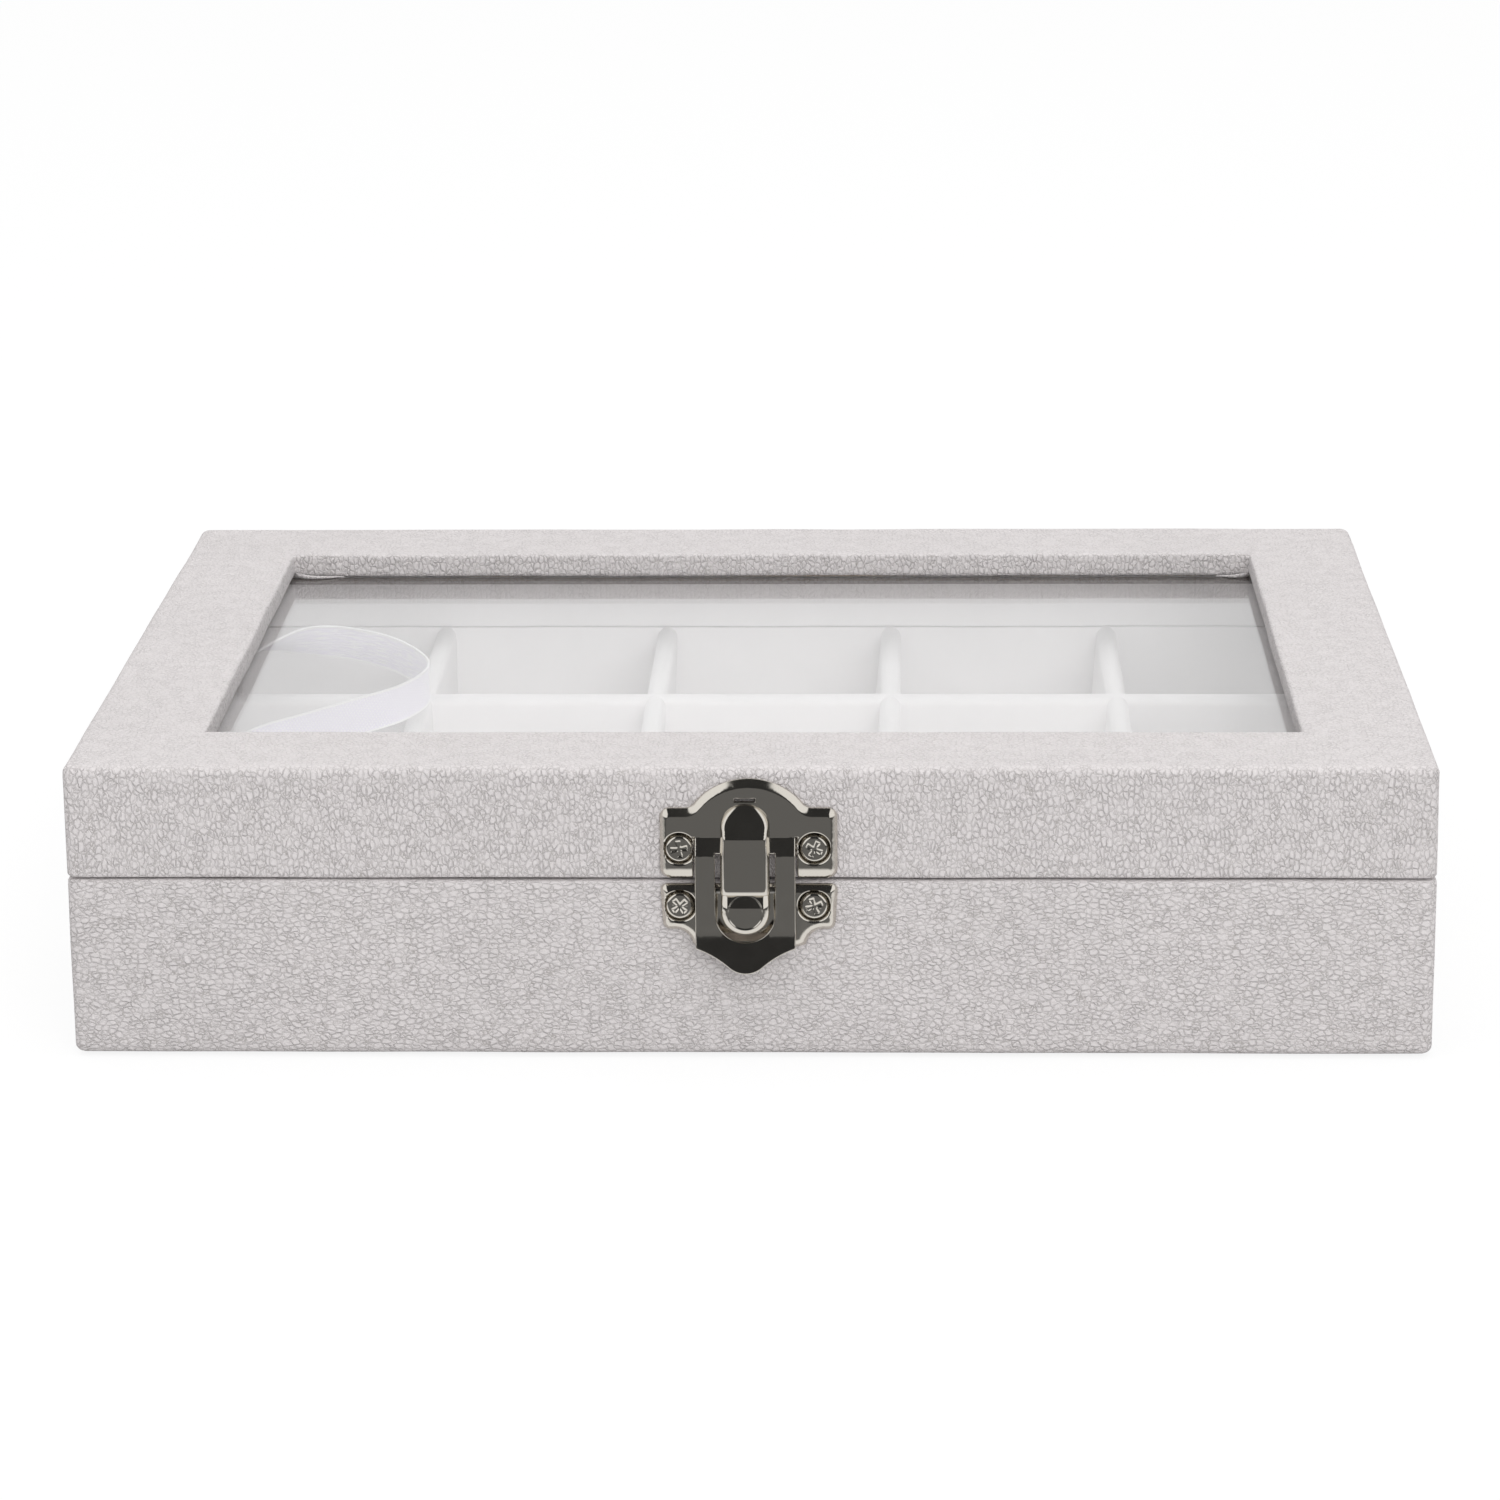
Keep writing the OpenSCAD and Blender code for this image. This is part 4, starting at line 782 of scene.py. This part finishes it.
def buttonHeight(points):
    x, z = points[:, 0] - strap["x"], points[:, 1]
    lean = button["lean"] * np.clip((z + 3.4) / (button["top"] + 3.4), 0, 1) ** 1.15
    aroundFoot = np.hypot(x, z - button["foot"] - button["half"])
    sideways = button["half"] - np.where(z < button["foot"] + button["half"], aroundFoot, np.abs(x))
    slope = 0.52 * np.clip(button["rim"] - sideways, 0, 1)
    roll = 0.5 * np.clip(1 - sideways / 0.3, 0, 1) ** 2
    out = button["front"] - lean - slope - roll
    r = np.hypot(x, z - button["dimpleZ"])
    return out - button["depth"] * (1 - smooth((r - button["dimple"] + 0.2) / 0.2))


buttonLoop = np.concatenate((
    arcPoints(strap["x"], button["foot"] + button["half"], button["half"], 180, 360, 28),
    [(strap["x"] + button["half"], button["top"]), (strap["x"] - button["half"], button["top"])]))
pressedSheet("release_button_cap", [buttonLoop], buttonHeight, "button", "release_button", step=0.22,
             spots=[(strap["x"], button["dimpleZ"], (2.35, 2.45, 2.55, 2.65))])


def keeperLoop():
    right = np.concatenate(([(7.2, -10.2)], arcPoints(10.9, -10.0, 2.55, 175, 100, 8),
                            arcPoints(11.5, -6.3, 1.2, 280, 360, 6),
                            arcPoints(plate["w"] / 2 - 1.1, -1.4, 1.1, 0, 90, 6)))
    left = np.column_stack((-right[::-1, 0], right[::-1, 1]))
    return np.concatenate((right, left))


keeperPan = keeperLoop()


# The middle of the keeper is pressed in as a pocket for the button and its spring
def keeperHeight(points):
    out = dished(points, panHeight(points, keeperPan), screwPlaces[2:])
    walls = np.maximum(np.abs(points[:, 0] - strap["x"]) - 4.3, -9.3 - points[:, 1])
    pocket = 0.7 + (plate["rise"] - 0.7) * smooth(walls / 0.35)
    return np.where(walls < 0.35, np.minimum(out, pocket), out)


pressedSheet("keeper_plate_sheet", [keeperPan], keeperHeight, "base", "keeper_plate",
             spots=[(x, z, seatRings) for x, z in screwPlaces[2:]])

# Out from the case and height of the spring's line, which is a strip of sheet
springLine = [(0.82, -7.0), (0.9, -6.6), (1.45, -4.2), (1.5, -3.9), (1.25, -3.1)]
springPoints = [(strap["x"] + side, -75 - out - t, z + seam)
                for side in (-1.4, 1.4) for t in (0, 0.2) for out, z in springLine]
n = len(springLine)
springFaces = [(i, i + 1, 2 * n + i + 1, 2 * n + i) for i in range(n - 1)]
springFaces += [(n + i + 1, n + i, 3 * n + i, 3 * n + i + 1) for i in range(n - 1)]
springFaces += [(i + 1, i, n + i, n + i + 1) for i in range(n - 1)]
springFaces += [(2 * n + i, 2 * n + i + 1, 3 * n + i + 1, 3 * n + i) for i in range(n - 1)]
springFaces += [(0, 2 * n, 3 * n, n), (n - 1, 2 * n - 1, 4 * n - 1, 3 * n - 1)]
spring = addPiece("button_leaf_spring", springPoints, springFaces, "base", "button_spring", sharp=40)
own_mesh(spring)


# Pan-head screws with a cross recess and four fine grooves between its arms
def screwHeight(cx, cz, turn, seat):
    def height(points):
        x, z = points[:, 0] - cx, points[:, 1] - cz
        r = np.hypot(x, z)
        out = seat + 0.68 - 0.04 * (r / 2) ** 2 - 0.3 * np.clip((r - 1.62) / 0.38, 0, 1) ** 2
        a = np.arctan2(z, x) - math.radians(turn)
        u, v = np.abs(r * np.cos(a)), np.abs(r * np.sin(a))
        arm = np.minimum(np.maximum(v - 0.2 - 0.12 * u, u - 1.2), np.maximum(u - 0.2 - 0.12 * v, v - 1.2))
        out = out - 0.15 * smooth((0.12 - arm) / 0.24)
        b = a + math.pi / 4
        u, v = np.abs(r * np.cos(b)), np.abs(r * np.sin(b))
        thin = np.minimum(np.maximum(v - 0.04, u - 1.15), np.maximum(u - 0.04, v - 1.15))
        return out - 0.03 * smooth((0.08 - thin) / 0.12)
    return height


for k, ((x, z), turn) in enumerate(zip(screwPlaces, (8, 63, 40, 20))):
    body, node = ("lid", "hasp_screws") if k < 2 else ("base", "keeper_screws")
    pressedSheet(f"{node}_head_{k % 2 + 1}", [arcPoints(x, z, 2.0, 0, 360, 48)[:-1]],
                 screwHeight(x, z, turn, screwSeat), body, node, thick=0.9, edgeRound=0.12, step=0.12,
                 rings=(0.04, 0.09, 0.14))
print("clasp")


# White satin ribbon, its ends held in slots of the lid's and the base's left liners. It stands on edge
# in a loop when the lid is shut. Stations: distance in from the left board, y, height above the
# seam, roll
ribbonStations = [
    (0, 27, 3.8, 84), (6, 29, 4, 80), (12, 32, 5.6, 62), (18, 34, 5.9, 28), (25, 34, 5.4, 12),
    (33, 28.5, 4.9, 4), (38.8, 19, 4.4, 0), (40, 10, 4.5, 0), (37, 0, 4.6, 2),
    (31, -9, 4.8, 4), (24, -19, 5.1, 8), (17, -29, 5.2, 20), (11, -38, 2.6, 44),
    (6.5, -43.5, -2, 66), (0, -45.5, -4, 80)]
ribbonCut = {"w": 6.0, "t": 0.3, "steps": 8, "across": 14}


def makeRibbon(cfg):
    stations = np.array(ribbonStations, float)
    line = []
    n = len(stations) - 1
    for i in range(n):
        a, b, c, d = stations[max(i - 1, 0)], stations[i], stations[i + 1], stations[min(i + 2, n)]
        for t in np.arange(cfg["steps"]) / cfg["steps"]:
            line.append(0.5 * (2 * b + (c - a) * t + (2 * a - 5 * b + 4 * c - d) * t * t
                               + (3 * b - a - 3 * c + d) * t ** 3))
    line.append(stations[-1])
    line = np.array(line)
    centre = np.column_stack((line[:, 0] - 94.8, line[:, 1], line[:, 2] + seam))
    points, along, length = [], [], 0.0
    half = cfg["across"]
    for k, p in enumerate(centre):
        if 0 < k < len(centre) - 1:
            ahead = centre[k + 1] - centre[k - 1]
        else:
            ahead = np.array((1.0 if k == 0 else -1.0, 0, 0))
        ahead = ahead / np.linalg.norm(ahead)
        side = np.cross(ahead, (0, 0, 1.0))
        side /= np.linalg.norm(side)
        up = np.cross(side, ahead)
        roll = math.radians(line[k, 3])
        broad = up * math.cos(roll) + side * math.sin(roll)
        thin = side * math.cos(roll) - up * math.sin(roll)
        length += 0 if k == 0 else np.linalg.norm(p - centre[k - 1])
        along.append(length)
        for face in (1, -1):
            for j in range(half + 1):
                v = j / half * 2 - 1
                cord = 0.6 if abs(v) > 0.93 else 0.42
                cup = 0.16 * (1 - v * v)
                points.append(p + broad * v * cfg["w"] / 2 + thin * (face * cfg["t"] * cord + cup))
    row = 2 * (half + 1)
    faces = []
    for k in range(len(centre) - 1):
        a, b = k * row, (k + 1) * row
        ring = list(range(half + 1)) + list(range(row - 1, half, -1))
        for i in range(len(ring)):
            j = (i + 1) % len(ring)
            faces.append((a + ring[i], a + ring[j], b + ring[j], b + ring[i]))
    last = (len(centre) - 1) * row
    for j in range(half):
        faces.append((j + 1, j, half + 1 + j, half + 2 + j))
        faces.append((last + j, last + j + 1, last + half + 2 + j, last + half + 1 + j))
    obj = addPiece("ribbon_stay_satin", points, faces, None, "ribbon_stay", sharp=70)
    layer = obj.data.uv_layers.new(name="weave")
    for loop in obj.data.loops:
        k, j = divmod(loop.vertex_index, row)
        across = cfg["w"] * (j % (half + 1)) / half
        layer.data[loop.index].uv = (along[k], across + (weaveBack if j > half else 0))
    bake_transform(obj)
    print("ribbon", round(length, 1), "mm")


makeRibbon(ribbonCut)


camera = {
    "place": (21.2 * mm, -747.6 * mm, 240.0 * mm),
    "yaw": 1.78,
    "pitch": 15.99,
    "roll": -0.49,
    "lens": 116.2,
}


def makeCamera(cfg):
    yaw, pitch, roll = (math.radians(cfg[k]) for k in ("yaw", "pitch", "roll"))
    ahead = Vector((-math.sin(yaw) * math.cos(pitch), math.cos(yaw) * math.cos(pitch), -math.sin(pitch)))
    right = ahead.cross(Vector((0, 0, 1))).normalized()
    up = right.cross(ahead)
    rolledRight = right * math.cos(roll) + up * math.sin(roll)
    rolledUp = up * math.cos(roll) - right * math.sin(roll)
    data = bpy.data.cameras.new("camera")
    data.lens = cfg["lens"]
    data.sensor_width = 36
    data.clip_start, data.clip_end = 0.01, 50
    made = bpy.data.objects.new("camera", data)
    made.matrix_world = Matrix((
        (rolledRight.x, rolledUp.x, -ahead.x, cfg["place"][0]),
        (rolledRight.y, rolledUp.y, -ahead.y, cfg["place"][1]),
        (rolledRight.z, rolledUp.z, -ahead.z, cfg["place"][2]),
        (0, 0, 0, 1)))
    bpy.context.scene.collection.objects.link(made)
    bpy.context.scene.camera = made


makeCamera(camera)
scene = bpy.context.scene
scene.view_settings.view_transform = "Standard"

lights = [
    {"name": "overhead", "place": (0.0, -0.1, 1.3), "aim": (0, 0, 0), "size": 1.8, "power": 6.0},
    {"name": "front", "place": (0.4, -1.3, 0.72), "aim": (0, 0, 0.02), "size": 0.9, "power": 5.8},
]
for cfg in lights:
    data = bpy.data.lights.new(cfg["name"], "AREA")
    data.shape, data.size, data.energy = "DISK", cfg["size"], cfg["power"]
    lamp = bpy.data.objects.new(cfg["name"], data)
    lamp.location = cfg["place"]
    lamp.rotation_euler = (Vector(cfg["aim"]) - Vector(cfg["place"])).to_track_quat("-Z", "Y").to_euler()
    lamp.visible_glossy = False
    scene.collection.objects.link(lamp)


# The studio as the metal and the glass mirror it: white walls behind and at both sides, darkness
# above and behind the camera. Direct sight and the light on cloth come from an even white.
def makeWorld(ambient):
    world = bpy.data.worlds.new("world")
    scene.world = world
    world.use_nodes = True
    tree = world.node_tree
    tree.nodes.clear()
    add = partial(addNode, tree)
    way = add("SeparateXYZ", {0: add("TexCoord").outputs["Generated"]})
    sideways = add("Math", {"operation": "ABSOLUTE", 0: way.outputs["X"]})
    walls = add("MapRange", {"From Min": 0.34, "From Max": 0.42, "Value": sideways})
    back = add("MapRange", {"From Min": 0.1, "From Max": 0.3, "Value": way.outputs["Y"]})
    either = add("Math", {"operation": "MAXIMUM", 0: walls, 1: back})
    low = add("MapRange", {"From Min": 0.9, "From Max": 0.96, "To Min": 1.0, "To Max": 0.0,
                           "Value": way.outputs["Z"]})
    lit = add("Math", {"operation": "MULTIPLY", 0: either, 1: low})
    mirrored = add("Math", {"operation": "MULTIPLY_ADD", 1: 0.97, 2: 0.03, 0: lit})
    path = add("LightPath")
    glossyLight = add("Background", {"Color": grey(1.0), "Strength": mirrored})
    even = add("Background", {"Color": grey(1.0), "Strength": ambient})
    plain = add("Background", {"Color": grey(1.0), "Strength": 1.0})
    tree.nodes.active = plain
    first = add("MixShader", {0: path.outputs["Is Glossy Ray"], 1: even, 2: glossyLight})
    seen = add("Math", {"operation": "MAXIMUM", 0: path.outputs["Is Camera Ray"],
                        1: path.outputs["Is Transmission Ray"]})
    final = add("MixShader", {0: seen, 1: first, 2: plain})
    add("OutputWorld", {"Surface": final})


makeWorld(0.72)


# White sweep of paper. Metal and glass mirror it white up to a line in front of the box, and dark
# beyond. Through the glass it looks as it does directly.
floorLook = {
    "white": 0.86, "shadow": 0.15,  # its own light, and how grey the part is that takes a shadow
    "bounce": 0.66,  # how much light it throws back on the box
    "lineFar": -128.0, "lineNear": -108.0, "beyond": 0.15, "before": 0.95,  # mirrored, with the line in mm
    "sideFrom": 70.0, "sideTo": 120.0, "atSides": 0.5,
}


def makeFloor(cfg):
    material, add = newMaterial("white_sweep")
    path = add("LightPath")
    place = add("SeparateXYZ", {0: millimetres(add)})
    front = add("MapRange", {"From Min": cfg["lineFar"], "From Max": cfg["lineNear"],
                             "To Min": cfg["beyond"], "To Max": cfg["before"], "Value": place.outputs["Y"]})
    wide = add("Math", {"operation": "ABSOLUTE", 0: place.outputs["X"]})
    sides = add("MapRange", {"From Min": cfg["sideFrom"], "From Max": cfg["sideTo"],
                             "To Min": 1.0, "To Max": cfg["atSides"], "Value": wide})
    near = add("Math", {"operation": "MULTIPLY", 0: front, 1: sides})
    seen = add("Math", {"operation": "MAXIMUM", 0: path.outputs["Is Camera Ray"],
                        1: path.outputs["Is Transmission Ray"]})
    paperLight = add("Emission", {"Color": grey(1.0), "Strength": cfg["white"]})
    paperBase = add("BsdfDiffuse", {"Color": grey(cfg["shadow"])})
    lit = add("AddShader", {0: paperLight, 1: paperBase})
    bounce = add("BsdfDiffuse", {"Color": grey(cfg["bounce"])})
    mirrored = add("Emission", {"Color": grey(1.0), "Strength": near})
    first = add("MixShader", {0: path.outputs["Is Glossy Ray"], 1: bounce, 2: mirrored})
    final = add("MixShader", {0: seen, 1: first, 2: lit})
    add("OutputMaterial", {"Surface": final})
    mesh = bpy.data.meshes.new("floor")
    mesh.from_pydata([(-4, -4, 0), (4, -4, 0), (4, 4, 0), (-4, 4, 0)], [], [(0, 1, 2, 3)])
    mesh.materials.append(material)
    floor = bpy.data.objects.new("floor", mesh)
    scene.collection.objects.link(floor)


makeFloor(floorLook)
print("stage")
